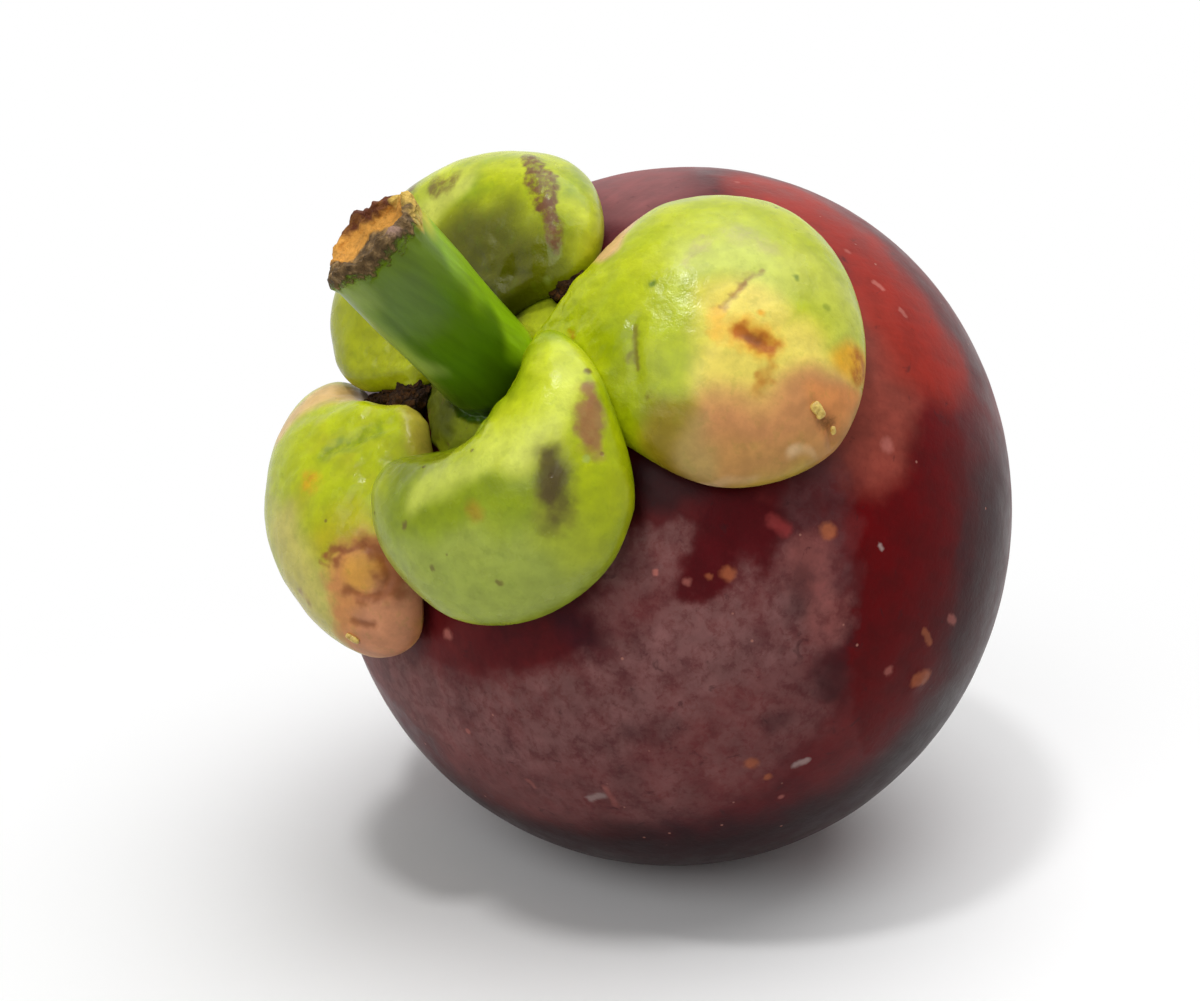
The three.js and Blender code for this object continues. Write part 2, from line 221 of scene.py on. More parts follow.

# Paths over the rind are (azimuth, distance from the crown).
# The greyish mauve is partly the skin's waxy film and partly a painted reflection of the pale floor in
# front of the fruit.
RIND_BLOOM_AND_REFLECTION_AREAS = [
    ([(-35, 27), (0, 27), (25, 27), (45, 27), (60, 27.5), (72, 30)], 3, 3, TORN, BLOOM_AND_REFLECTION, 0.9),
    ([(0, 34), (30, 35), (58, 35)], 1.5, 4.5, TORN, BLOOM_AND_REFLECTION, 0.65),
    ([(58, 18.5), (66, 19.5), (72, 20.5)], 1.1, 1.3, TORN, BLOOM_AND_REFLECTION, 0.85),
    ([(50, 20.5), (60, 22)], 1, 2, TORN, BLOOM_AND_REFLECTION, 0.6),
    ([(98, 28), (88, 28.5), (80, 30.5)], 1.5, 1.8, RAGGED, SHADED_BLOOM, 0.8),
    ([(218, 38), (245, 48), (280, 46), (310, 40)], 6, 8, TORN, BLOOM_AND_REFLECTION, 0.8),
    ([(128, 66), (160, 58), (185, 62)], 4, 9, TORN, BLOOM_AND_REFLECTION, 0.65),
    ([(20, 72), (60, 76)], 4, 8, TORN, SHADED_BLOOM, 0.7),
    ([(81, 29.5), (77, 31), (74, 33)], 0.8, 2, TORN, DUSTY_PINK, 0.65),
]
RIND_REGIONS = [
    ([(108, 36), (96, 36.5), (86, 38), (77, 39.7), (70, 43.5)], 4.6, 0.9, TORN, DEEP_CRIMSON, 0.95),
    # Near-black low on the fruit, towards the ground: painted shade.
    ([(100, 47), (84, 50), (60, 54)], 3, 6, SOFT, NEAR_BLACK, 0.7),
    ([(124, 32.5), (113, 32.5), (103, 31.5)], 1.6, 3.6, TORN, DUSTY_RED, 0.85),
    ([(160, 33), (148, 34), (135, 35.5), (123, 38)], 2.8, 4, SOFT, BRIGHT_RED, 0.85),
    # Grey-pink between the back and right sepals: a painted reflection of the pale surroundings.
    ([(178, 24), (188, 30)], 2, 5, SOFT, GREY_PINK, 0.75),
    # Near-black round the side nearest the ground: painted shade.
    ([(-25, 42), (0, 43), (18, 44), (38, 48), (62, 52)], 3.8, 6.5, SOFT, NEAR_BLACK, 0.9),
    ([(88, 22.5), (83, 23), (77, 23), (72, 24), (65, 23.5)], 1, 1.3, TORN, DARK_CRIMSON, 0.95),
    ([(83, 25.5), (77, 26)], 0.6, 1.3, TORN, DARK_CRIMSON, 0.9),
    # Near-black below the right and front sepals: a painted shadow.
    ([(80, 17), (92, 20), (100, 23)], 1.8, 2.2, SOFT, NEAR_BLACK, 0.75),
    ([(12, 21)], 1, 2.5, RAGGED, DARK_CRIMSON, 0.4),
]
RIND_SMUDGES = [
    ([(65, 36.5), (68, 35.5)], 0.5, 1.6, RAGGED, SMUDGE, 0.55),
    ([(56, 35)], 0.4, 1.4, RAGGED, SMUDGE, 0.5),
    ([(77, 29.5), (72, 30.5)], 0.3, 1.4, RAGGED, SMUDGE, 0.45),
    ([(44, 30), (38, 29.5)], 0.3, 1.6, RAGGED, SMUDGE, 0.3),
]
# Specks, scrapes and painted glints by colour: path, radius, softness and strength.
RIND_SPECKS_AND_GLINTS = {
    ORANGE_SPECK: [
        ([(86, 30)], 0.3, 0.6, 0.75), ([(71, 25)], 0.25, 0.55, 0.65), ([(68.5, 24)], 0.12, 0.3, 0.5),
        ([(49, 36.5)], 0.3, 0.5, 0.6), ([(49, 38.5)], 0.15, 0.35, 0.6),
        ([(73, 43.2), (74, 44)], 0.35, 0.5, 0.65), ([(79.5, 41.3), (78.5, 42.5)], 0.12, 0.35, 0.6),
    ],
    PINK_SPECK_AND_GLINT: [
        ([(65, 23)], 0.12, 0.35, 0.5), ([(72, 40)], 0.2, 0.4, 0.5),
        ([(83, 43.5), (83, 44.2)], 0.15, 0.4, 0.5), ([(62, 21), (62.5, 20.8)], 0.06, 0.25, 0.7),
        ([(103, 33)], 0.25, 0.6, 0.6), ([(2, 19.3)], 0.2, 0.5, 0.7),
        ([(27, 33), (26.5, 35)], 0.06, 0.4, 0.25), ([(13, 31.8), (13.5, 32.4)], 0.06, 0.3, 0.3),
        # The pale dots in the bright red, from here on, are painted glints.
        ([(134, 34.5), (133, 35)], 0.1, 0.3, 0.6), ([(129, 36), (128, 36.3)], 0.1, 0.25, 0.6),
        ([(141, 33.5)], 0.1, 0.3, 0.5),
    ],
    GREY_SCRAPE_AND_GLINT: [
        # The first of these, at 87 degrees, is a painted glint.
        ([(87, 34.5), (87.5, 34.2)], 0.03, 0.25, 0.7), ([(53, 39.3), (54.5, 39.6)], 0.1, 0.4, 0.6),
        ([(23, 33.9), (25.5, 33.8)], 0.15, 0.4, 0.5),
    ],
    (0.3, 0.04, 0.04): [
        ([(83.5, 26), (83, 27)], 0.2, 0.6, 0.7),
    ],
}

DEEP_GREEN = (0.12, 0.2, 0.002)
GREEN = (0.28, 0.37, 0.001)
LIME = (0.43, 0.49, 0.002)
BRIGHT_LIME = (0.55, 0.61, 0.02)
PALE_GREEN = (0.36, 0.43, 0.07)
YELLOW_GREEN = (0.42, 0.43, 0.01)
OLIVE = (0.23, 0.3, 0.001)
DARK_OLIVE = (0.065, 0.068, 0)
YELLOW = (0.8, 0.65, 0.12)
GOLD = (0.8, 0.36, 0.01)
TAN = (0.66, 0.38, 0.11)
PINK_TAN = (0.56, 0.23, 0.09)
DRY_TAN = (0.6, 0.24, 0.08)
PINK_EDGE = (0.72, 0.42, 0.2)
DEAD_PINK = (0.58, 0.25, 0.13)
PINK_BROWN = (0.3, 0.15, 0.06)
VIOLET_GREY = (0.42, 0.34, 0.16)
RUST = (0.42, 0.11, 0.004)
BROWN_RED = (0.26, 0.075, 0.02)
BROWN = (0.12, 0.05, 0.012)
BRUISE = (0.07, 0.045, 0.01)
CORK = (0.13, 0.045, 0.01)

# Paths over a sepal are (u, v).
FRONT_AREAS = [
    # Paler towards the tip, low down: painted bounce light from the floor.
    ([(0.1, -0.85), (0.35, -0.6), (0.5, -0.2), (0.6, 0.1)], 2, 3, SOFT, PALE_GREEN, 0.85),
    ([(0.3, 0.85), (0.45, 0.7), (0.6, 0.5)], 1, 3, SOFT, LIME, 0.7),
    ([(-0.38, -0.6), (-0.3, -0.1), (-0.14, 0.28)], 0.8, 3, SOFT, LIME, 0.9),
    # A darker olive band under the crest: painted shade.
    ([(-0.2, -0.45), (-0.06, -0.12), (0.06, 0.12), (0.15, 0.32)], 0.8, 2.8, SOFT, OLIVE, 0.9),
    # The crest, painted lighter where the light from above falls on it.
    ([(-0.16, 0.25), (-0.07, 0.55), (0, 0.92)], 1, 2.4, SOFT, BRIGHT_LIME, 0.9),
    # A narrow pale band along the crest: a painted highlight.
    (
        [(-0.27, -0.3), (-0.16, 0), (-0.07, 0.3), (0, 0.55), (0.03, 0.8)],
        0.2, 1.8, SOFT, (0.7, 0.76, 0.13), 0.6,
    ),
]
FRONT_MARKS = [
    ([(0.12, 0.48), (0.22, 0.42), (0.34, 0.36)], 0.1, 2.2, ROUGH, (0.16, 0.13, 0.02), 0.6),
    ([(0.12, 0.49)], 0.05, 1.1, ROUGH, BRUISE, 0.85),
    ([(0.19, 0.45), (0.25, 0.4)], 0.3, 1.1, ROUGH, BRUISE, 0.85),
    ([(0.27, 0.46), (0.34, 0.38)], 0.3, 1, RAGGED, BRUISE, 0.6),
    ([(0.38, 0.3), (0.4, 0.42)], 0.1, 1.3, ROUGH, BRUISE, 0.35),
    ([(0.1, 0.88), (0.15, 0.85)], 0.05, 0.7, ROUGH, PINK_BROWN, 0.9),
    ([(0.19, 0.82), (0.27, 0.77)], 0.5, 0.7, ROUGH, PINK_BROWN, 0.9),
    ([(0.3, 0.73), (0.34, 0.74)], 0.05, 0.8, ROUGH, PINK_BROWN, 0.7),
    ([(0.12, 0.84), (0.2, 0.8), (0.28, 0.76)], 0.3, 0.9, RAGGED, BROWN_RED, 0.4),
    ([(0.03, -0.02), (0.06, -0.02)], 0.1, 0.8, FINE, RUST, 0.4),
    ([(0.05, 0.92)], 0.12, 0.25, FINE, BROWN, 0.8),
    ([(-0.03, -0.52)], 0.12, 0.3, FINE, BROWN, 0.7),
    ([(0.26, -0.5)], 0.1, 0.25, FINE, BROWN, 0.6),
    ([(0.46, -0.2)], 0.1, 0.25, FINE, BROWN, 0.6),
    # A small pale dot: a painted highlight.
    ([(0.32, 0.68)], 0.1, 0.25, FINE, PALE_GREEN, 0.9),
]
RIGHT_AREAS = [
    # Darker olive on the lower side of the neck: painted shade.
    ([(-0.3, -0.3), (-0.2, -0.75)], 1, 2.5, SOFT, OLIVE, 0.5),
    # A pale, waxy patch near the top: a painted highlight.
    ([(0.12, 0.2), (0.25, 0.15), (0.33, 0.02)], 0.8, 2.5, SOFT, (0.56, 0.62, 0.12), 0.75),
    ([(0.22, -0.2), (0.22, -0.52), (0.52, -0.44)], 2, 2.6, SOFT, YELLOW, 0.95),
    ([(0.5, 0.05), (0.66, -0.06), (0.74, -0.22)], 1.2, 2.6, SOFT, (0.52, 0.56, 0.06), 0.85),
    ([(0.2, -0.68), (0.4, -0.68), (0.66, -0.56)], 0.9, 2.6, SOFT, TAN, 0.8),
    ([(0.2, -0.86), (0.45, -0.84), (0.7, -0.68)], 1.5, 3.4, SOFT, PINK_TAN, 0.85),
    # Dark brownish olive low on the edge next to the front sepal: painted shade.
    ([(-0.02, -0.78), (0.03, -0.95)], 0.6, 2, SOFT, (0.24, 0.15, 0.002), 0.8),
    ([(0.1, -0.84), (0.2, -0.92)], 0.6, 1.8, SOFT, (0.46, 0.33, 0.1), 0.7),
    ([(0.66, -0.64), (0.8, -0.6)], 0.6, 1.4, SOFT, (0.66, 0.25, 0.07), 0.8),
    ([(0.25, -0.99), (0.5, -0.98), (0.72, -0.88)], 0.1, 0.6, SOFT, (0.74, 0.5, 0.26), 0.8),
    ([(-0.25, 0.88), (-0.05, 0.93), (0.15, 0.96)], 0.9, 1, SOFT, PINK_EDGE, 0.9),
    ([(0.12, -0.16), (0.12, -0.28)], 0.05, 0.9, ROUGH, GOLD, 0.55),
    ([(0.7, -0.35), (0.86, -0.42)], 0.5, 1.4, SOFT, GOLD, 0.8),
]
RIGHT_MARKS = [
    ([(0.22, -0.27), (0.31, -0.33)], 0.4, 1.4, ROUGH, GOLD, 0.7),
    ([(0.21, -0.27), (0.27, -0.31), (0.33, -0.33)], 0.2, 0.8, ROUGH, RUST, 0.95),
    ([(0.25, -0.3), (0.28, -0.31)], 0.05, 0.6, FINE, (0.16, 0.04, 0.003), 0.7),
    ([(0.33, -0.36), (0.33, -0.42), (0.32, -0.5)], 0.02, 0.7, ROUGH, RUST, 0.5),
    ([(0.33, -0.5), (0.31, -0.53)], 0.1, 0.8, ROUGH, RUST, 0.45),
    ([(0.31, 0.06), (0.25, 0), (0.2, -0.07), (0.14, -0.14)], 0.02, 0.4, ROUGH, PINK_BROWN, 0.6),
    ([(0.24, -0.01), (0.18, -0.07)], 0.03, 0.3, ROUGH, BROWN_RED, 0.5),
    ([(0.04, 0.19), (0.1, 0.27), (0.17, 0.3)], 0.02, 0.7, RAGGED, VIOLET_GREY, 0.6),
    ([(0.24, 0.33), (0.32, 0.3), (0.36, 0.2)], 0.05, 1.3, RAGGED, VIOLET_GREY, 0.45),
    ([(0.78, -0.38), (0.82, -0.46)], 0.4, 0.9, RAGGED, RUST, 0.85),
    ([(-0.2, -0.2), (-0.2, -0.5)], 0.03, 0.35, FINE, BROWN, 0.6),
    ([(-0.22, -0.45)], 0.15, 0.5, RAGGED, BROWN, 0.5),
    ([(-0.55, 0.05)], 0.1, 0.5, RAGGED, RUST, 0.6),
    ([(-0.1, 0.1)], 0.12, 0.3, FINE, DEEP_GREEN, 0.9),
    ([(0.44, 0.02)], 0.1, 0.3, FINE, DEEP_GREEN, 0.8),
    ([(0.29, -0.18)], 0.1, 0.3, FINE, GOLD, 0.8),
    ([(0.56, -0.12)], 0.1, 0.4, FINE, DEEP_GREEN, 0.5),
    ([(-0.12, -0.66)], 0.15, 0.5, RAGGED, BROWN, 0.5),
    ([(0.66, -0.7), (0.73, -0.76)], 0.15, 0.5, RAGGED, BROWN, 0.8),
]
BACK_AREAS = [
    # The inner wall facing the stem, dark olive in these first two: painted shade.
    ([(-0.85, -0.85), (-0.62, -0.5), (-0.58, -0.02)], 3.2, 4.5, SOFT, DARK_OLIVE, 1),
    ([(-0.4, -0.85), (-0.38, -0.3)], 1, 3.5, SOFT, (0.12, 0.12, 0), 0.85),
    ([(-0.5, 0.7), (-0.2, 0.7), (0.1, 0.7)], 2, 3, SOFT, (0.32, 0.34, 0.003), 0.8),
    # A pale band along the crest: a painted highlight.
    ([(0.1, -0.35), (0, -0.15), (-0.08, 0.1)], 0.3, 1.8, SOFT, (0.6, 0.62, 0.12), 0.7),
    ([(-0.45, -0.97), (-0.3, -1)], 0.1, 0.5, SOFT, PALE_GREEN, 0.9),
]
BACK_MARKS = [
    ([(0.3, -0.67), (0.05, -0.75), (-0.06, -0.78)], 0.6, 0.4, RAGGED, CORK, 0.95),
    ([(-0.06, -0.78), (-0.18, -0.82), (-0.28, -0.86)], 0.4, 0.4, RAGGED, CORK, 0.95),
    ([(0.11, -0.22), (0.1, -0.3)], 0.4, 0.8, RAGGED, CORK, 0.75),
    ([(0.25, -0.1), (0.16, -0.04)], 0.4, 0.9, RAGGED, CORK, 0.85),
]
LEFT_AREAS = [
    ([(-0.25, -0.95), (-0.15, -0.75), (0, -0.6)], 0.8, 1.8, SOFT, PINK_EDGE, 0.8),
    ([(0.05, 0.1), (0.15, 0.35), (0.3, 0.6)], 1.2, 3, SOFT, (0.6, 0.5, 0.14), 0.75),
    ([(-0.35, 0.65), (-0.2, 0.5)], 0.5, 2, SOFT, (0.48, 0.38, 0.008), 0.7),
    ([(-0.12, 0.84), (0.1, 0.87), (0.35, 0.87)], 2.1, 1.8, ROUGH, DRY_TAN, 0.95),
    ([(-0.14, 0.82)], 0.9, 1.2, FINE, (0.66, 0.33, 0.05), 0.8),
    ([(0.02, 0.97), (0.2, 0.92), (0.45, 0.9)], 1.2, 1.8, ROUGH, DEAD_PINK, 0.85),
]
LEFT_MARKS = [
    ([(-0.13, 0.56), (-0.2, 0.66), (-0.25, 0.72), (-0.29, 0.8)], 0.03, 0.5, ROUGH, BROWN_RED, 0.85),
    ([(-0.3, 0.84), (-0.28, 0.9), (-0.17, 0.94), (-0.05, 0.95)], 0.3, 1, ROUGH, BROWN_RED, 0.85),
    ([(0, 0.9), (0.02, 0.82), (0.01, 0.75)], 0.1, 0.7, ROUGH, BROWN_RED, 0.8),
    ([(-0.19, 0.67), (-0.1, 0.65)], 0.02, 0.45, ROUGH, BROWN_RED, 0.7),
    ([(-0.11, 0.54), (-0.13, 0.64)], 0.02, 0.35, FINE, BROWN_RED, 0.6),
    ([(-0.07, 0.53), (-0.08, 0.6)], 0.02, 0.3, FINE, BROWN_RED, 0.5),
    ([(0.21, 0.78), (0.22, 0.87)], 0.06, 0.45, FINE, BROWN_RED, 0.7),
    ([(-0.29, 0.06), (-0.27, 0.1)], 0.3, 0.9, RAGGED, GOLD, 0.6),
    ([(-0.29, 0.08)], 0.1, 0.5, RAGGED, RUST, 0.6),
    ([(-0.4, -0.1), (-0.55, -0.12), (-0.7, -0.15)], 0.2, 0.9, RAGGED, DEEP_GREEN, 0.6),
    ([(0.2, 0.4), (0.24, 0.47)], 0.15, 0.5, RAGGED, PINK_BROWN, 0.7),
]

# Each sepal's cloudy colours, the tint of its rim with a strength, how freckled it is, and its marks,
# those that go under the freckles first.
SEPAL_LOOKS = {
    "sepal_front": ((GREEN, GREEN, LIME), (GREEN, 0.3), 0.4, FRONT_AREAS, FRONT_MARKS),
    "sepal_right": (
        ((0.37, 0.44, 0.001), LIME, (0.48, 0.53, 0.006)), (LIME, 0.5), 0.35, RIGHT_AREAS, RIGHT_MARKS,
    ),
    "sepal_back": ((GREEN, LIME, BRIGHT_LIME), (YELLOW_GREEN, 0.5), 0.5, BACK_AREAS, BACK_MARKS),
    "sepal_left": ((YELLOW_GREEN, LIME, LIME), (TAN, 0.45), 0.4, LEFT_AREAS, LEFT_MARKS),
}

# Colours up the stem, from its foot to its cut, and marks whose paths are (angle, radius, height).
FOOT_GREEN = (0.24, 0.28, 0.001)
# Darker near the foot: painted shade where the stalk stands among the sepals.
STEM_COLOURS = [
    (0, (0.03, 0.075, 0)),
    (0.2, (0.055, 0.12, 0)),
    (0.4, (0.07, 0.17, 0)),
    (0.7, (0.09, 0.19, 0.001)),
    (0.95, (0.13, 0.21, 0.003)),
]
STEM_AREAS = [
    # Brighter on the side the light falls on: painted light.
    ([(138, 4, 16), (130, 4, 9), (122, 4, 4)], 0.9, 1.8, SOFT, (0.27, 0.48, 0.003), 0.9),
    # A pale stripe down the stalk: a painted highlight.
    ([(0, 4, 17), (0, 4, 8)], 0.3, 1.6, SOFT, (0.3, 0.4, 0.08), 0.75),
    # A greyish patch: a painted reflection.
    ([(45, 4, 16), (40, 4, 12)], 0.8, 2.2, SOFT, (0.11, 0.18, 0.035), 0.6),
    ([(140, 4, 17.7), (135, 4, 16.4)], 0.5, 1.5, SOFT, (0.6, 0.55, 0.03), 0.85),
    ([(95, 6, 1.4), (130, 6, 1.4), (165, 6, 1.4)], 1.2, 2, SOFT, (0.46, 0.52, 0.006), 0.9),
    # A dark line where the stalk meets its foot, and part of the foot in dark olive: painted shade.
    ([(30, 4.5, 1.7), (90, 4.5, 1.7)], 0.3, 0.8, SOFT, (0.02, 0.04, 0), 0.9),
    ([(200, 6, 1), (260, 6, 1), (320, 6, 1)], 1.2, 2, SOFT, (0.07, 0.08, 0), 0.85),
]
CUT_MARKS = [
    (
        [(170, 2.6, 17.6), (215, 2.8, 17.6), (250, 2.8, 17.6), (280, 3.0, 17.8)],
        1.0, 0.5, RAGGED, (0.72, 0.33, 0.05), 0.95,
    ),
    ([(190, 4.0, 18.4), (215, 4.0, 18.4), (255, 4.4, 18.4)], 0.75, 0.5, RAGGED, (0.1, 0.018, 0.003), 0.97),
    ([(180, 3.9, 18.5), (150, 4.0, 18.2), (120, 4.1, 17.5)], 0.35, 0.6, RAGGED, (0.75, 0.5, 0.1), 0.9),
    ([(85, 3.6, 18.4)], 0.3, 0.6, RAGGED, (0.4, 0.25, 0.2), 0.7),
]

CRUST_COLOURS = [(0.35, (0.045, 0.024, 0.006)), (0.52, (0.13, 0.075, 0.025)), (0.68, (0.32, 0.2, 0.08))]
SCAB_COLOURS = [(0.35, (0.02, 0.008, 0.001)), (0.55, (0.05, 0.018, 0.002)), (0.72, (0.12, 0.045, 0.008))]
STIGMA_COLOURS = [(0.3, (0.05, 0.022, 0.012)), (0.55, (0.16, 0.08, 0.035)), (0.75, (0.45, 0.27, 0.1))]
LATEX_COLOURS = [(0.35, (0.42, 0.24, 0.03)), (0.6, (0.78, 0.58, 0.14))]
CRACK_COLOUR = (0.012, 0.004, 0.003)

# How much the surfaces mirror: 0.5 is plain plastic.
RIND_GLOSS, SEPAL_GLOSS, STEM_GLOSS, DRY_GLOSS = 0.08, 0.25, 0.3, 0.15

# ---- the studio, in metres ----

# Each light's place, size and power in watts.
LIGHTS = {
    "key": ((0.12, 0.04, 0.55), 0.6, 2.3),
    "fill": ((-0.25, -0.5, 0.4), 0.5, 1.5),
    "window": ((-0.1, -0.15, 0.5), 0.06, 0.65),
}
AMBIENT = 0.2
BACKGROUND = 1.0
WHITE = (1, 1, 1)
FLOOR_SIZE = 3.0
FLOOR_COLOUR = (0.92, 0.92, 0.92)
FLOOR_BOUNCE = (0.6, 0.6, 0.6)
FLOOR_FADE = (0.03, 0.1)
FLOOR_GRAIN = 0.004

LENS = 48  # in millimetres
CLIP_START = 0.01
# From the middle of the fruit, in millimetres: the camera, and the point it looks at.
CAMERA_FROM_MIDDLE = np.array([0, -138.6, 39.6])
AIM_FROM_MIDDLE = np.array([-6.0, 0.0, 1.0])

# ---- shaping helpers ----


def mix(a, b, part):
    return a + (b - a) * part


def smoothstep(x, low, high):
    t = np.clip((x - low) / (high - low), 0, 1)
    return t * t * (3 - 2 * t)


def bell(x, width):
    return np.exp(-((x / width) ** 2))


def waves(terms, angle):
    return sum(size * np.sin(count * angle + phase) for size, count, phase in terms)


def along(values, part):
    """The value part way along evenly spaced values, eased by a Catmull-Rom spline."""
    values = np.asarray(values, float)
    place = np.clip(part, 0, 1) * (len(values) - 1)
    i = np.minimum(place.astype(int), len(values) - 2)
    t = place - i
    before, start, end, after = (values[np.clip(i + k, 0, len(values) - 1)] for k in (-1, 0, 1, 2))
    slope_in, slope_out = (end - before) / 2, (after - start) / 2
    cubic = 2 * start - 2 * end + slope_in + slope_out
    square = -3 * start + 3 * end - 2 * slope_in - slope_out
    return ((cubic * t + square) * t + slope_in) * t + start


def along_knots(knots, part):
    """Both values of pairs, part way along them."""
    return [along(values, part) for values in zip(*knots)]


def over_grid(size, end):
    """Two values over a grid: one runs from 0 to an end down its rows, and one once round its columns."""
    rows, columns = size
    return np.meshgrid(np.linspace(0, end, rows), np.linspace(0, 2 * pi, columns), indexing="ij")


def unit(vectors):
    return vectors / np.linalg.norm(vectors, axis=-1, keepdims=True)


def stretched(vectors, lengths):
    """Each vector, times its own length."""
    return vectors * np.asarray(lengths)[..., None]


def bumps(points, kind, shift=0):
    """Fractal noise at each point. Its kind is a height, a size, octaves and a seed."""
    height, size, octaves, seed = kind
    offset = Vector((1, 2, -1)) * (seed + shift)
    values = [noise.fractal(Vector(p) + offset, 1.0, 2.0, octaves) for p in points.reshape(-1, 3) / size]
    return height * np.array(values).reshape(points.shape[:-1])


def turned(points, axis, degrees):
    return points @ np.array(Matrix.Rotation(radians(degrees), 3, axis)).T


def half_height(polar):
    """How far the rind reaches along the core, on the crown's side of its middle or on the other."""
    return np.where(polar < pi / 2, CROWN_HEIGHT, BLOSSOM_HEIGHT)


def rind_radius(polar, azimuth):
    round_part = 1 / np.hypot(np.sin(polar) / EQUATOR_RADIUS, np.cos(polar) / half_height(polar))
    dimple = CROWN_DIMPLE * bell(polar, radians(DIMPLE_ANGLE))
    return round_part - dimple + np.sin(polar) ** 2 * waves(RIND_LUMPS, azimuth)


def cylindrical(radius, angle, height):
    return np.stack([radius * np.cos(angle), radius * np.sin(angle), height], -1)


def spherical(radius, polar, azimuth):
    return cylindrical(radius * np.sin(polar), azimuth, radius * np.cos(polar))


def above_rind(distance, azimuth, height):
    """The point at a distance along the rind from the crown, raised above it by a height."""
    polar, azimuth = np.broadcast_arrays(np.asarray(distance, float) / RIND_MM_PER_RADIAN, azimuth)
    at = spherical(rind_radius(polar, azimuth), polar, azimuth)
    cap = half_height(polar)
    normal = unit(at / np.stack([np.full_like(cap, EQUATOR_RADIUS, float)] * 2 + [cap], -1) ** 2)
    return at + stretched(normal, height)


def lowest_of_rind():
    """The row frame's place of the round rind's lowest point, counted from the middle of the fruit."""
    down = TO_ROW.T @ np.array([0.0, 0.0, -1.0])
    cap = CROWN_HEIGHT if down[2] > 0 else BLOSSOM_HEIGHT
    touching = np.array([EQUATOR_RADIUS, EQUATOR_RADIUS, cap]) ** 2 * down
    return TO_ROW @ (touching / sqrt(touching @ down))


def laid_down(points):
    """Points of the upright fruit, in metres in the row frame."""
    return (points @ TO_ROW.T + MIDDLE) * MM


HEADING = Matrix.Rotation(radians(LEAN_HEADING), 3, "Z")
TO_ROW = np.array(HEADING @ Matrix.Rotation(radians(LEAN), 3, "Y"))
MIDDLE = -lowest_of_rind() - np.array([0, 0, REST_FLAT_DEPTH])


# ---- mesh helpers ----


def grid_faces(rows, columns, start):
    """Quads over a grid of vertices numbered row by row."""
    corner = np.arange(rows * columns).reshape(rows, columns)[:-1, :-1].reshape(-1, 1) + start
    return corner + np.array([0, 1, columns + 1, columns])


def in_a_row(grids):
    return np.concatenate([grid.reshape(-1, 3) for grid in grids])


def piece(name, grids, material, slot, replaces=(), **layers):
    """One closed mesh from grids of points whose edges meet, none of them below the ground. Each layer
    gives every grid's points a vector."""
    faces, start = [], 0
    for grid in grids:
        faces.append(grid_faces(*grid.shape[:2], start))
        start += grid.shape[0] * grid.shape[1]
    placed = laid_down(in_a_row(grids))
    placed[:, 2] = np.maximum(placed[:, 2], 0)
    mesh = bpy.data.meshes.new(name)
    mesh.from_pydata(placed, [], np.concatenate(faces).tolist())
    for key, vectors in {"upright": grids, **layers}.items():
        layer = mesh.attributes.new(key, "FLOAT_VECTOR", "POINT")
        layer.data.foreach_set("vector", in_a_row(vectors).astype(np.float32).ravel())
    weld = bmesh.new()
    weld.from_mesh(mesh)
    bmesh.ops.remove_doubles(weld, verts=weld.verts, dist=WELD_DISTANCE * MM)
    bmesh.ops.recalc_face_normals(weld, faces=weld.faces)
    weld.to_mesh(mesh)
    weld.free()
    mesh.shade_smooth()
    mesh.materials.append(material)
    thing = bpy.data.objects.new(name, mesh)
    bpy.context.scene.collection.objects.link(thing)
    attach(thing, "root")
    if replaces:
        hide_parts(*replaces)
    return thing


def distance_to_path(points, path):
    """Each point's distance from a path of straight stretches."""
    nearest = np.full(points.shape[:-1], np.inf)
    for start, end in zip(path, path[1:]):
        stretch = end - start
        part = np.clip(((points - start) @ stretch) / (stretch @ stretch), 0, 1)
        apart = np.linalg.norm(points - start - part[..., None] * stretch, axis=-1)
        nearest = np.minimum(nearest, apart)
    return nearest


# ---- the sepals' shape ----


def sepal_sheet(sepal, u, v):
    """The middle surface of a sepal. u runs from -1 at the base to 1 at the tip and v from side to side."""
    roundness = mix(0.5, 1, smoothstep(u, -1, 0.2))
    part = (1 + u * np.sqrt(1 - roundness * v * v / 2)) / 2
    side = v * np.sqrt(1 - roundness * u * u / 2)
    distance, ridge = along_knots(sepal["spine"], part)
    aside = side * np.where(side < 0, along(sepal["falling"], part), along(sepal["rising"], part))
    around = aside / (EQUATOR_RADIUS * np.sin(distance / RIND_MM_PER_RADIAN))
    bulge = np.clip(1 - v * v, 0, 1) ** sepal["fullness"]
    edge = mix(*sepal["hem"], (v + 1) / 2)
    tip_height = sepal["spine"][-1][1]
    edge = mix(edge, tip_height, smoothstep(part, 0.5, 1))
    azimuth = np.radians(sepal["azimuth"] + sepal["bend"] * part) + around
    return above_rind(distance, azimuth, mix(edge, ridge, bulge))


def sheet_normals(sepal, u, v):
    """Outward normals of a sepal's middle surface, kept off its corners, where the surface has none."""
    u, v = u * NORMAL_REACH, v * NORMAL_REACH
    along_u = sepal_sheet(sepal, u + NORMAL_STEP, v) - sepal_sheet(sepal, u - NORMAL_STEP, v)
    along_v = sepal_sheet(sepal, u, v + NORMAL_STEP) - sepal_sheet(sepal, u, v - NORMAL_STEP)
    return unit(np.cross(along_u, along_v))


def distance_from_edges(points):
    """How far each point of a grid is from the nearest edge of the grid, measured over its surface."""
    nearest = []
    for axis in (0, 1):
        steps = np.linalg.norm(np.diff(points, axis=axis), axis=-1)
        run = np.insert(np.cumsum(steps, axis=axis), 0, 0, axis=axis)
        nearest += [run, np.take(run, [-1], axis=axis) - run]
    return np.minimum.reduce(nearest)


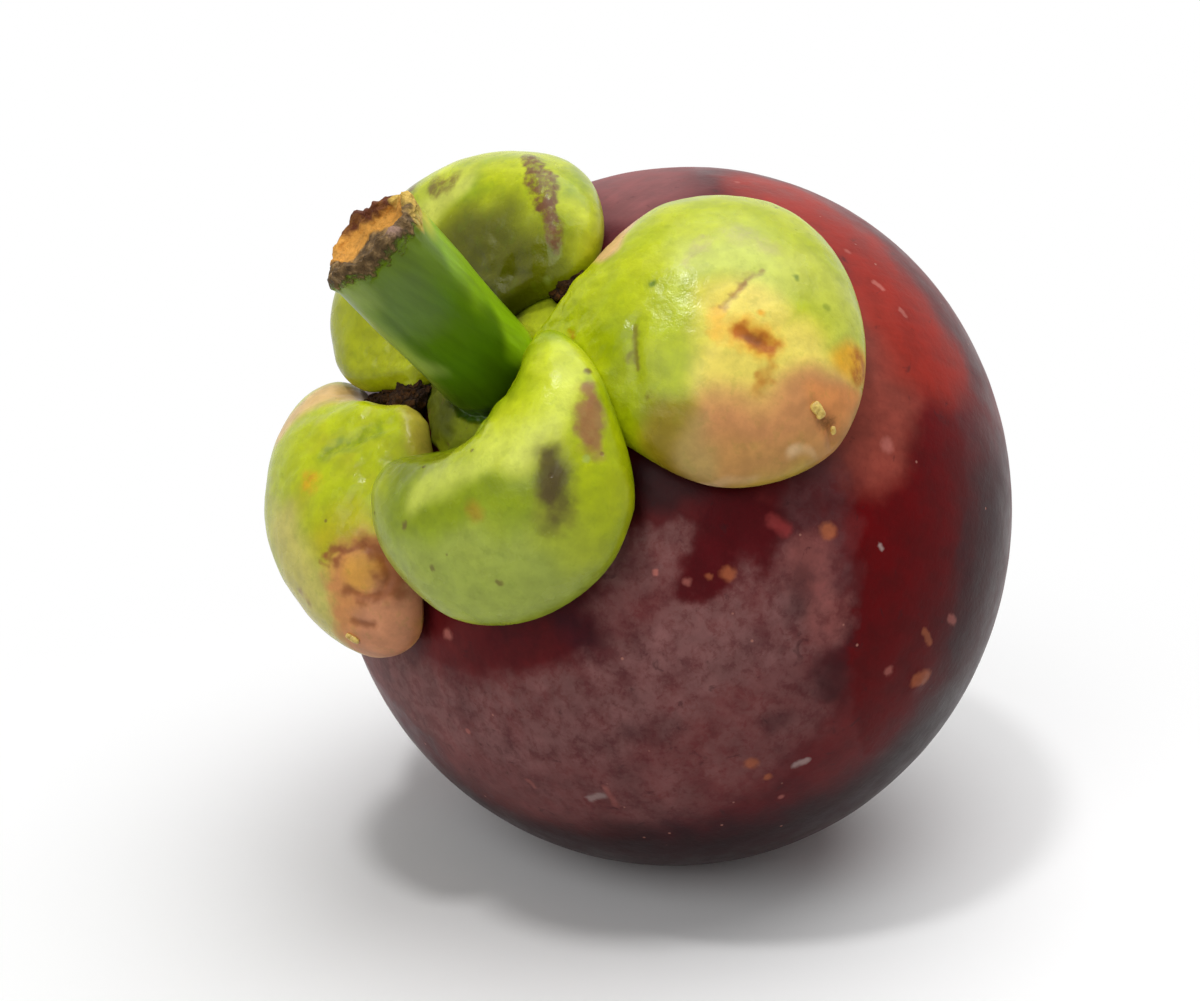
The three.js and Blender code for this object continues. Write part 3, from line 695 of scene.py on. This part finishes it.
def sepal_relief(sepal, sheet, u):
    """Height of the lumps, the wrinkles of the neck and the creases over a sepal's middle surface."""
    seed = sepal["seed"]
    relief = bumps(sheet, SEPAL_LUMPS, seed) + bumps(sheet, SEPAL_DIMPLES, seed)
    relief += (1 - smoothstep(u, *NECK)) * bumps(sheet, NECK_WRINKLES, seed)
    for path, depth, width in sepal["creases"]:
        crease = distance_to_path(sheet, sepal_sheet(sepal, *np.array(path).T))
        relief -= depth * bell(crease, width)
    return relief


def sepal_piece(name, sepal, material):
    """A thick, fleshy sepal whose rounded rim tucks in towards the rind."""
    ease = [np.sin(np.linspace(-pi / 2, pi / 2, count)) for count in SEPAL_GRID]
    u, v = np.meshgrid(*ease, indexing="ij")
    sheet = sepal_sheet(sepal, u, v)
    normals = sheet_normals(sepal, u, v)
    rim = distance_from_edges(sheet)
    relief = sepal_relief(sepal, sheet, u) * smoothstep(rim, 0, RELIEF_FROM_RIM)
    tuck = RIM_TUCK * np.clip(1 - rim / RIM_TUCK_WIDTH, 0, 1) ** 2
    middle = sheet + stretched(normals, relief) - stretched(unit(sheet), tuck)
    full = np.sqrt(np.clip((1 - v**4) * (1 - np.maximum(u, 0) ** 4), 0, 1))
    half = mix(SEPAL_RIM_THICKNESS, SEPAL_THICKNESS, full) / 2 - SKIN_INSET
    half = half * np.sqrt(1 - np.clip(1 - rim / RIM_ROUNDING, 0, 1) ** 2)
    grids = [middle + stretched(normals, half), middle - stretched(normals, half)]
    layers = {"chart": [np.stack([u, v, rim], -1)] * 2, "smooth": [sheet] * 2}
    return piece(name + "_flesh", grids, material, "sepal", [name], **layers)


# ---- the other shapes ----


def rind_piece(material):
    polar, azimuth = over_grid(RIND_GRID, pi)
    at = spherical(rind_radius(polar, azimuth), polar, azimuth)
    dents = np.abs(bumps(at, RIND_DENTS)) + np.abs(bumps(at, RIND_DIMPLES))
    for distance, around, size, height in RIND_BLEMISHES:
        blemish = above_rind(distance, radians(around), 0.0)
        dents -= height * bell(np.linalg.norm(at - blemish, axis=-1), size)
    skin = spherical(rind_radius(polar, azimuth) - SKIN_INSET - dents, polar, azimuth)
    chart = cylindrical(EQUATOR_RADIUS, azimuth, RIND_MM_PER_RADIAN * polar)
    return piece("rind_skin", [skin], material, "rind", ["rind"], chart=[chart], smooth=[at])


def stem_profile():
    """Distance from the stem's axis and height, from the core out under the foot and up to the cut."""
    foot, swelling, stalk, top = RECEPTACLE_RADIUS, RECEPTACLE_HEIGHT, STEM_RADIUS, STEM_LENGTH
    under = [(0, 0), (foot * 0.7, -0.1), (foot - 0.3, 0)]
    rise = [(foot - 0.1, swelling * 0.3), (foot - 1.6, swelling * 0.8), (stalk + 0.6, swelling)]
    neck = [(stalk - 0.3, swelling - 0.1), (stalk - 0.15, swelling + 0.5), (stalk, swelling + 1.4)]
    side = [(stalk - 0.1, top * 0.35), (stalk - 0.1, top * 0.5), (stalk, top * 0.65), (stalk, top * 0.8)]
    rim = [(stalk, top - 1.6), (stalk + 0.1, top - 0.7), (stalk - 0.05, top - 0.15), (stalk - 0.5, top)]
    cut = [(stalk - 0.9, top - 0.4), (stalk - 1.4, top - 0.9), (stalk * 0.3, top - 1.2), (0, top - 1.1)]
    return under + rise + neck + side + rim + cut


def off_the_core(points, height):
    """Leans the stalk over, leaving the foot level, and sets both on the crown, a little off the core."""
    towards, aside = radians(STEM_TILT_AZIMUTH), radians(STEM_SHIFT_AZIMUTH)
    leaned = turned(points, Vector((-sin(towards), cos(towards), 0)), STEM_TILT)
    lean = smoothstep(np.asarray(height), 0, CLEAR_OF_FOOT * RECEPTACLE_HEIGHT)[..., None]
    shift = [STEM_SHIFT * cos(aside), STEM_SHIFT * sin(aside), CROWN_HEIGHT - CROWN_DIMPLE]
    return mix(points, leaned, lean) + np.array(shift)


def on_stem(angle, radius, height):
    """The point of the stem at an angle, a distance from its axis and a height, on its slanting cut."""
    near_cut = smoothstep(height, STEM_LENGTH * CUT_SLANTS, STEM_LENGTH)
    raised = height + near_cut * np.minimum(radius / STEM_RADIUS, 1) * waves(CUT_UNEVENNESS, angle)
    return off_the_core(cylindrical(radius, angle, raised), raised)


def stem_piece(material):
    """The stalk with fibres along it, a lumpy foot, and a torn crust that curls out over its cut."""
    part, angle = over_grid(STEM_GRID, 1)
    radius, height = along_knots(stem_profile(), part)
    ring = cylindrical(1.0, angle, np.zeros_like(angle))
    up = np.array([0, 0, 1.0])
    at = stretched(ring, radius) + stretched(up, height)
    across = np.minimum(radius / STEM_RADIUS, 1)
    stalk = smoothstep(height, RECEPTACLE_HEIGHT, STEM_LENGTH * CORNERS_FULL)
    end = smoothstep(height, STEM_LENGTH * CRUST_BEGINS, STEM_LENGTH)
    foot = (1 - smoothstep(height, *FOOT_HEIGHT)) * smoothstep(radius, *FOOT_REACH)

    fibre_at = ring * FIBRES_ROUND + stretched(up, height * FIBRES_ALONG)
    fibres = bumps(fibre_at, STEM_FIBRES) - STEM_FIBRES[0]
    lip = CUT_LIP * bell(angle - radians(CUT_LIP_ANGLE), CUT_LIP_REACH)
    width = radius * (1 + stalk * waves(STEM_CORNERS, angle)) + fibres * across
    width = width + foot * bumps(at, FOOT_LUMPS) + end * across * (bumps(at, CUT_LUMPS) + lip)
    torn = end * across * bumps(ring * TEARS_ROUND, CUT_TEARS)
    crust = (end + FOOT_CRUST * foot) * bumps(at, CUT_CRUST)
    points = on_stem(angle, width, height + torn + crust)
    chart = np.stack([height, radius, smoothstep(part, *CUT_FACE)], -1)
    smooth = on_stem(angle, radius, height)
    return piece("stem_stalk", [points], material, "stem", ["stem"], chart=[chart], smooth=[smooth])


def scab_piece(name, scab, material):
    """A shrivelled petal scar: a crumpled flake lying in the gap between two sepals."""
    rise, around = over_grid(SCAB_GRID, pi)
    ball = spherical(1.0, rise, around)
    crumple = 1 + bumps(ball, SCAB_CRUMPLE, scab["turn"])
    flake = stretched(ball, crumple) * np.array([scab["wide"], scab["long"], scab["high"]])
    flake[..., 2] += bumps(flake, SCAB_FOLDS, scab["turn"])
    local = turned(flake, "Z", scab["turn"])
    azimuth = radians(scab["azimuth"]) + local[..., 1] / scab["distance"]
    height = scab["high"] + SCAB_RAISE + local[..., 2]
    points = above_rind(scab["distance"] + local[..., 0], azimuth, height)
    return piece(name + "_flake", [points], material, "dry_scab", [name] if name in SCABS else [])


def stigma_piece(material):
    """The woody rosette left at the blossom end, its lobes pressed to the rind."""
    out, around = over_grid(STIGMA_GRID, 1)
    notch = STIGMA_NOTCH * out * np.abs(np.cos(around * STIGMA_LOBES / 2)) ** 6
    reach = out * (1 - notch) * (STIGMA_RADIUS - STIGMA_INSET)
    flat = cylindrical(reach, around, np.zeros_like(reach))
    dome = STIGMA_THICKNESS * (1 - out**6) ** 0.5 * (0.55 + 0.45 * (1 - notch / STIGMA_NOTCH))
    dome = dome * (0.82 + bumps(flat, STIGMA_LUMPS)) - STIGMA_INSET
    distance = pi * RIND_MM_PER_RADIAN - reach
    top = above_rind(distance, around, np.maximum(dome, 0.02 - STIGMA_INSET * out))
    bottom = above_rind(distance, around, np.full_like(dome, -STIGMA_SINK))
    bottom[-1] = top[-1]
    return piece("stigma_rosette", [top, bottom], material, "dry_scab", ["stigma"])


def latex_drop(name, sepal, path, width, material):
    """Gum that has run out over a sepal along a path of (u, v) and dried there."""
    run, around = over_grid(LATEX_GRID, 1)
    u, v = along_knots(path, (1 - np.cos(pi * run)) / 2)
    normals = sheet_normals(sepal, u, v)
    middle = sepal_sheet(sepal, u, v) + normals * (SEPAL_THICKNESS / 2 - LATEX_SINK)
    thick = width * np.sin(pi * run) ** 0.5 * (1 + bumps(middle / width, LATEX_LUMPS))
    aside = np.cross(normals, unit(np.gradient(middle, axis=0)))
    ring = stretched(aside, np.cos(around)) + stretched(LATEX_FLATNESS * normals, np.sin(around))
    return piece(name, [middle + stretched(ring, thick / 2)], material, "sepal")


# ---- painting helpers ----


class Nodes:
    """A shader tree built node by node. Its methods take sockets and plain values alike."""

    def __init__(self, tree):
        self.tree = tree

    def node(self, kind, inputs=(), **settings):
        made = self.tree.nodes.new("ShaderNode" + kind)
        for key, value in settings.items():
            setattr(made, key, value)
        for key, value in dict(inputs).items():
            self.feed(made.inputs[key], value)
        return made

    def feed(self, socket, value):
        if isinstance(value, bpy.types.NodeSocket):
            self.tree.links.new(value, socket)
        elif hasattr(value, "__len__") and len(value) == 3 and len(socket.default_value) == 4:
            socket.default_value = (*value, 1)
        else:
            socket.default_value = value

    def math(self, operation, a, b):
        return self.node("Math", {0: a, 1: b}, operation=operation).outputs[0]

    def sum(self, *values):
        total = values[0]
        for value in values[1:]:
            total = self.math("ADD", total, value)
        return total

    def weighted(self, *pairs):
        return self.sum(*[self.times(value, weight) for value, weight in pairs])

    def times(self, a, b):
        return self.math("MULTIPLY", a, b)

    def most(self, a, b):
        return self.math("MAXIMUM", a, b)

    def vector(self, operation, a, b, result="Vector"):
        return self.node("VectorMath", {0: a, 1: b}, operation=operation).outputs[result]

    def measure(self, operation, a, b):
        return self.vector(operation, a, b, "Value")

    def scaled(self, vector, strength):
        return self.node("VectorMath", {0: vector, "Scale": strength}, operation="SCALE").outputs[0]

    def blend(self, a, b, part):
        return self.node("MixRGB", {0: part, 1: a, 2: b}).outputs[0]

    def fade(self, value, low, high, start=0.0, end=1.0):
        """start where value is at low, end where it is at high, and a smooth step between."""
        inputs = {"Value": value, "From Min": low, "From Max": high, "To Min": start, "To Max": end}
        return self.node("MapRange", inputs, interpolation_type="SMOOTHSTEP", clamp=False).outputs[0]

    def swing(self, noise, start, end):
        """From start where a noise is low to end where it is high."""
        return self.fade(noise, LOW, HIGH, start, end)

    def ramp(self, value, stops):
        ramp = self.node("ValToRGB", {0: value})
        elements = ramp.color_ramp.elements
        while len(elements) < len(stops):
            elements.new(1)
        for element, (place, colour) in zip(elements, stops):
            element.position = place
            element.color = (*colour, 1)
        return ramp.outputs[0]

    def clouded(self, noise, colours):
        return self.ramp(noise, list(zip((LOW, MIDDLING, HIGH), colours)))

    def layer(self, name):
        return self.node("Attribute", attribute_name=name).outputs["Vector"]

    def chart(self):
        return self.node("SeparateXYZ", {0: self.layer("chart")}).outputs

    def seen(self):
        """1 for rays that end up in the camera, straight or by a reflection or through glass."""
        rays = self.node("LightPath").outputs
        direct = self.most(rays["Is Camera Ray"], rays["Is Glossy Ray"])
        return self.most(direct, rays["Is Transmission Ray"])


class Paint(Nodes):
    """A material, which keeps the colour so far. Its noises lie in the upright fruit, in millimetres."""

    def __init__(self, name):
        self.material = bpy.data.materials.new(name)
        self.material.use_nodes = True
        super().__init__(self.material.node_tree)
        self.shader = self.tree.nodes["Principled BSDF"]
        self.place = self.layer("upright")
        self.edges = {}
        self.colour = None

    def noise(self, size, detail=3, roughness=0.55, at=None, distortion=0.0):
        """Noise from 0 to 1 around a half, with features of a size in millimetres."""
        where = self.place if at is None else at
        inputs = {"Vector": where, "Scale": 1 / size, "Detail": detail, "Roughness": roughness}
        return self.node("TexNoise", {**inputs, "Distortion": distortion}).outputs[0]

    def cells(self, size, feature="F1", at=None):
        """Distance from the nearest of points, or walls, scattered a size apart, counted in sizes."""
        where = self.place if at is None else at
        cells = self.node("TexVoronoi", {"Vector": where, "Scale": 1 / size}, feature=feature)
        return cells.outputs["Distance"]

    def warped(self, where, size, reach, octaves):
        """A place, shifted about by up to a reach, so that marks get uneven outlines."""
        shift = self.node("TexNoise", {"Vector": where, "Scale": 1 / size, "Detail": octaves}).outputs[1]
        centred = self.vector("SUBTRACT", shift, (0.5, 0.5, 0.5))
        return self.vector("ADD", where, self.scaled(centred, 2 * reach))

    def edge(self, kind):
        """The place on the smooth surface under the relief, warped for marks with an edge of this kind."""
        if kind not in self.edges:
            self.edges[kind] = self.warped(self.layer("smooth"), *kind)
        return self.edges[kind]

    def from_path(self, path, where):
        """Distance in millimetres from a path of points."""
        if len(path) == 1:
            return self.measure("DISTANCE", where, tuple(path[0]))
        nearest = None
        for start, end in zip(path, path[1:]):
            stretch = end - start
            apart = self.vector("SUBTRACT", where, tuple(start))
            run = self.measure("DOT_PRODUCT", apart, tuple(stretch / (stretch @ stretch)))
            part = self.most(self.math("MINIMUM", run, 1.0), 0.0)
            here = self.measure("DISTANCE", apart, self.scaled(tuple(stretch), part))
            nearest = here if nearest is None else self.math("MINIMUM", nearest, here)
        return nearest

    def tint(self, colour, part):
        self.colour = self.blend(self.colour, colour, part)

    def shade(self, part):
        self.colour = self.scaled(self.colour, part)

    def daub(self, marks, to_points, grain=1.0):
        """Puts marks on the colour, some of them broken up by a grain."""
        for path, radius, softness, edge, colour, strength in marks:
            distance = self.from_path(to_points(path), self.edge(edge))
            spot = self.fade(distance, radius, radius + softness, strength, 0.0)
            if edge in BROKEN_UP:
                spot = self.times(spot, grain)
            self.tint(colour, spot)

    def green_to_red(self):
        channels = self.node("SeparateColor", {0: self.colour}).outputs
        return self.math("DIVIDE", channels["Green"], channels["Red"])

    def finish(self, roughness, height, gloss=0.5, bump=1.0):
        """The finished material. Height is in millimetres."""
        relief = self.node("Bump", {"Height": height, "Distance": MM, "Strength": bump}).outputs[0]
        looks = {"Base Color": self.colour, "Roughness": roughness, "Specular IOR Level": gloss}
        for key, look in {**looks, "Normal": relief}.items():
            self.feed(self.shader.inputs[key], look)
        return self.material


# ---- materials ----


def rind_path(path):
    return [above_rind(distance, radians(azimuth), 0.0) for azimuth, distance in path]


def sepal_path(name):
    return lambda path: list(sepal_sheet(SEPALS[name], *np.array(path, float).T))


def stem_path(path):
    angle, radius, height = np.array(path, float).T
    return list(on_stem(np.radians(angle), radius, height))


def rind_specks_and_glints():
    """The specks, scrapes and painted glints, written out as marks."""
    listed_marks = [(colour, *spot) for colour, spots in RIND_SPECKS_AND_GLINTS.items() for spot in spots]
    return [(path, size, soft, FINE, colour, strength) for colour, path, size, soft, strength in listed_marks]


def rind_paint():
    paint = Paint("mangosteen_rind")
    lengthwise = paint.vector("MULTIPLY", paint.layer("chart"), (1, 1, 0.15))
    fibre = paint.noise(1.3, 4, 0.6, at=lengthwise)
    cloud = paint.noise(9, 5, 0.6)
    mottle = paint.noise(2.6, 5, 0.65)
    fine = paint.noise(0.5, 4, 0.6)

    # Regions of colour, with painted reflection in the grey film and painted shade low and under the
    # sepals.
    paint.colour = paint.clouded(cloud, RIND_COLOURS)
    patchy = paint.fade(paint.noise(3, 5, 0.7), 0.3, 0.6, 0.45, 1.0)
    patchy = paint.times(patchy, paint.fade(paint.noise(0.9, 4, 0.7, distortion=0.3), 0.35, 0.55, 0.6, 1.0))
    paint.daub(RIND_BLOOM_AND_REFLECTION_AREAS, rind_path, patchy)
    paint.daub(RIND_REGIONS, rind_path, paint.fade(fine, 0.2, 0.5, 0.8, 1.0))
    # Where the colour has gone grey, over the waxy film and its painted reflection, the skin is rougher.
    greyish = paint.fade(paint.green_to_red(), 0.2, 0.4)

    # Smudges, specks and pores all over, then the marks that have a place, painted glints among them.
    paint.tint(SMUDGE, paint.fade(paint.noise(1.6, 4, 0.6, distortion=0.6), 0.62, 0.74, 0.0, 0.5))
    paint.tint(PINK_SPECK_AND_GLINT, paint.fade(paint.cells(7), 0.02, 0.055, 0.45, 0.0))
    pores = paint.fade(paint.cells(2.1), 0.03, 0.075, 1.0, 0.0)
    pores = paint.most(paint.math("SUBTRACT", pores, paint.fade(cloud, 0.45, 0.55)), 0.0)
    paint.tint(PORE, paint.times(pores, 0.8))
    paint.daub(RIND_SMUDGES + rind_specks_and_glints(), rind_path)
    paint.shade(paint.times(paint.swing(fibre, 0.95, 1.05), paint.swing(mottle, 0.85, 1.15)))

    rough = paint.sum(0.3, paint.times(greyish, 0.2), paint.swing(mottle, 0.0, 0.1))
    relief = paint.weighted((fine, 0.015), (fibre, 0.012), (mottle, 0.05), (pores, -0.02))
    return paint.finish(rough, relief, RIND_GLOSS)


def sepal_paint(name):
    paint = Paint(name + "_flesh")
    colours, (rim_tint, rim_strength), freckled, areas, marks = SEPAL_LOOKS[name]
    u, _, rim = paint.chart()
    shifted = paint.vector("ADD", paint.place, (SEPALS[name]["seed"] * 10, 0, 0))
    cloud = paint.noise(4, 4, at=shifted)
    mottle = paint.noise(1.3, 4, 0.6, at=shifted)
    fine = paint.noise(0.35, 3, 0.6)
    grain = paint.fade(paint.noise(0.8, 5, 0.7), 0.35, 0.6, 0.35, 1.0)

    # The flesh, with a tint along its rim, then its areas, painted light and shade among them.
    paint.colour = paint.clouded(cloud, colours)
    rim_part = paint.fade(paint.sum(rim, paint.times(mottle, 1.2)), 0.9, 2.4, rim_strength, 0.0)
    paint.tint(rim_tint, rim_part)
    paint.daub(areas, sepal_path(name))

    # Freckles and dots all over, then the marks that have a place, a painted highlight among them.
    freckles = paint.times(paint.fade(paint.noise(0.9, 3, 0.6, at=shifted), 0.54, 0.68), freckled)
    paint.tint(DEEP_GREEN, paint.times(freckles, 0.35))
    dots = paint.fade(paint.cells(3.4, at=shifted), 0.03, 0.06, 1.0, 0.0)
    paint.tint(BROWN, paint.times(dots, 0.6))
    paint.daub(marks, sepal_path(name), grain)
    paint.shade(paint.swing(mottle, 0.88, 1.1))

    dried = paint.fade(paint.green_to_red(), 0.4, 0.8, 1.0, 0.0)
    rough = paint.sum(0.22, paint.times(dried, 0.2), paint.swing(cloud, 0.0, 0.08))
    relief = paint.weighted((mottle, paint.fade(u, *NECK, 0.12, 0.06)), (fine, 0.01), (dots, -0.03))
    return paint.finish(rough, relief, SEPAL_GLOSS)


def stem_paint():
    paint = Paint("mangosteen_stem")
    height, radius, cut = paint.chart()
    fibre = paint.noise(0.8, 3, 0.5, at=paint.vector("MULTIPLY", paint.place, (1, 1, 0.1)))
    cloud = paint.noise(3, 4, 0.6)
    mottle = paint.noise(0.7, 4, 0.65)

    # The stalk and its foot, with painted shade, light, a highlight and a reflection among its colours.
    uneven = paint.sum(height, paint.times(paint.math("SUBTRACT", cloud, 0.5), 3.0))
    paint.colour = paint.ramp(paint.times(uneven, 1 / STEM_LENGTH), STEM_COLOURS)
    foot = paint.fade(paint.sum(radius, paint.times(mottle, 0.8)), STEM_RADIUS + 0.5, STEM_RADIUS + 1.0)
    paint.tint(FOOT_GREEN, foot)
    paint.daub(STEM_AREAS, stem_path)
    paint.shade(paint.swing(fibre, 0.88, 1.12))
    paint.tint(BROWN, paint.times(foot, paint.fade(paint.noise(1.1, 4, 0.7), 0.6, 0.68, 0.0, 0.7)))

    # The frayed crust round the cut and the wood inside it.
    frayed = paint.sum(height, paint.times(paint.math("SUBTRACT", mottle, 0.5), 2.0))
    crust = paint.most(paint.fade(frayed, STEM_LENGTH - 1.1, STEM_LENGTH - 0.6), cut)
    paint.tint(paint.ramp(mottle, CRUST_COLOURS), crust)
    paint.daub(CUT_MARKS, stem_path, paint.fade(mottle, 0.3, 0.6, 0.7, 1.0))

    matt = paint.times(paint.most(crust, foot), 0.35)
    rough = paint.sum(0.3, matt, paint.swing(cloud, 0.0, 0.08))
    lumpy = paint.times(mottle, paint.sum(crust, paint.times(foot, 0.25)))
    relief = paint.weighted((fibre, 0.03), (lumpy, 0.4), (paint.noise(0.25), 0.015))
    return paint.finish(rough, relief, STEM_GLOSS)


def dry_paint(name, colours):
    """Dead, papery tissue: cracked into scales, and matt."""
    paint = Paint(name)
    mottle = paint.noise(0.8, 5, 0.7)
    scales = paint.cells(1.1, "DISTANCE_TO_EDGE", paint.warped(paint.place, 0.6, 0.3, 4))
    cracks = paint.fade(scales, 0.0, 0.12, 1.0, 0.0)
    paint.colour = paint.ramp(mottle, colours)
    paint.tint(CRACK_COLOUR, paint.times(cracks, 0.7))
    relief = paint.weighted((mottle, 0.5), (cracks, -0.2), (paint.noise(0.2), 0.06))
    return paint.finish(paint.swing(mottle, 0.6, 0.8), relief, DRY_GLOSS)


def latex_paint():
    paint = Paint("dried_latex")
    mottle = paint.noise(0.5, 4, 0.6)
    paint.colour = paint.ramp(mottle, LATEX_COLOURS)
    return paint.finish(paint.swing(mottle, 0.25, 0.45), paint.times(mottle, 0.1))


# ---- the fruit ----


def dress_the_fruit():
    rind_piece(rind_paint())
    stem_piece(stem_paint())
    for name, sepal in SEPALS.items():
        sepal_piece(name, sepal, sepal_paint(name))
    scab_material = dry_paint("petal_scab", SCAB_COLOURS)
    for name, scab in (SCABS | SHREDS).items():
        scab_piece(name, scab, scab_material)
    stigma_piece(dry_paint("stigma", STIGMA_COLOURS))
    latex_material = latex_paint()
    for number, (name, path, width) in enumerate(LATEX_DROPS, 1):
        latex_drop("latex_drop_%d" % number, SEPALS[name], path, width, latex_material)


# ---- the studio ----


def white_floor():
    """A pale floor that glows white away from the fruit, but only where it is seen."""
    bpy.ops.mesh.primitive_plane_add(size=FLOOR_SIZE)
    floor = bpy.context.object
    floor.name = "floor"
    paint = Paint("floor")
    where = paint.node("NewGeometry").outputs["Position"]
    apart = paint.measure("DISTANCE", where, tuple(MIDDLE * MM * np.array([1, 1, 0])))
    grain = paint.noise(FLOOR_GRAIN, at=where)
    seen = paint.seen()
    paint.colour = paint.blend(FLOOR_BOUNCE, FLOOR_COLOUR, seen)
    paint.finish(paint.swing(grain, 0.75, 0.85), paint.times(grain, 0.05), bump=0.3)
    glow = paint.node("Emission", {"Color": WHITE, "Strength": BACKGROUND}).outputs[0]
    far = paint.times(paint.fade(apart, *FLOOR_FADE), seen)
    both = paint.node("MixShader", {0: far, 1: paint.shader.outputs[0], 2: glow}).outputs[0]
    paint.feed(paint.tree.nodes["Material Output"].inputs["Surface"], both)
    floor.data.materials.append(paint.material)


def surroundings():
    """White where they are seen, and only a dim, even light on the fruit."""
    world = bpy.data.worlds.new("studio")
    bpy.context.scene.world = world
    world.use_nodes = True
    nodes = Nodes(world.node_tree)
    sky = nodes.tree.nodes["Background"].inputs
    nodes.feed(sky["Color"], WHITE)
    nodes.feed(sky["Strength"], nodes.node("Mix", {0: nodes.seen(), 2: AMBIENT, 3: BACKGROUND}).outputs[0])


def aimed(name, data, place, aim):
    """Puts a light or a camera in its place, looking at a point."""
    thing = bpy.data.objects.new(name, data)
    thing.location = place
    thing.rotation_euler = (Vector(aim) - Vector(place)).to_track_quat("-Z", "Y").to_euler()
    bpy.context.scene.collection.objects.link(thing)
    return thing


def soft_light(name, place, size, power):
    light = bpy.data.lights.new(name, "AREA")
    light.shape = "DISK"
    light.size = size
    light.energy = power
    aimed(name, light, place, MIDDLE * MM)


def viewpoint():
    camera = bpy.data.cameras.new("camera")
    camera.lens = LENS
    camera.clip_start = CLIP_START
    place, aim = (MIDDLE + CAMERA_FROM_MIDDLE) * MM, (MIDDLE + AIM_FROM_MIDDLE) * MM
    bpy.context.scene.camera = aimed("camera", camera, place, aim)


dress_the_fruit()
white_floor()
surroundings()
for name, (place, size, power) in LIGHTS.items():
    soft_light(name, place, size, power)
viewpoint()
bpy.context.scene.view_settings.view_transform = "Standard"
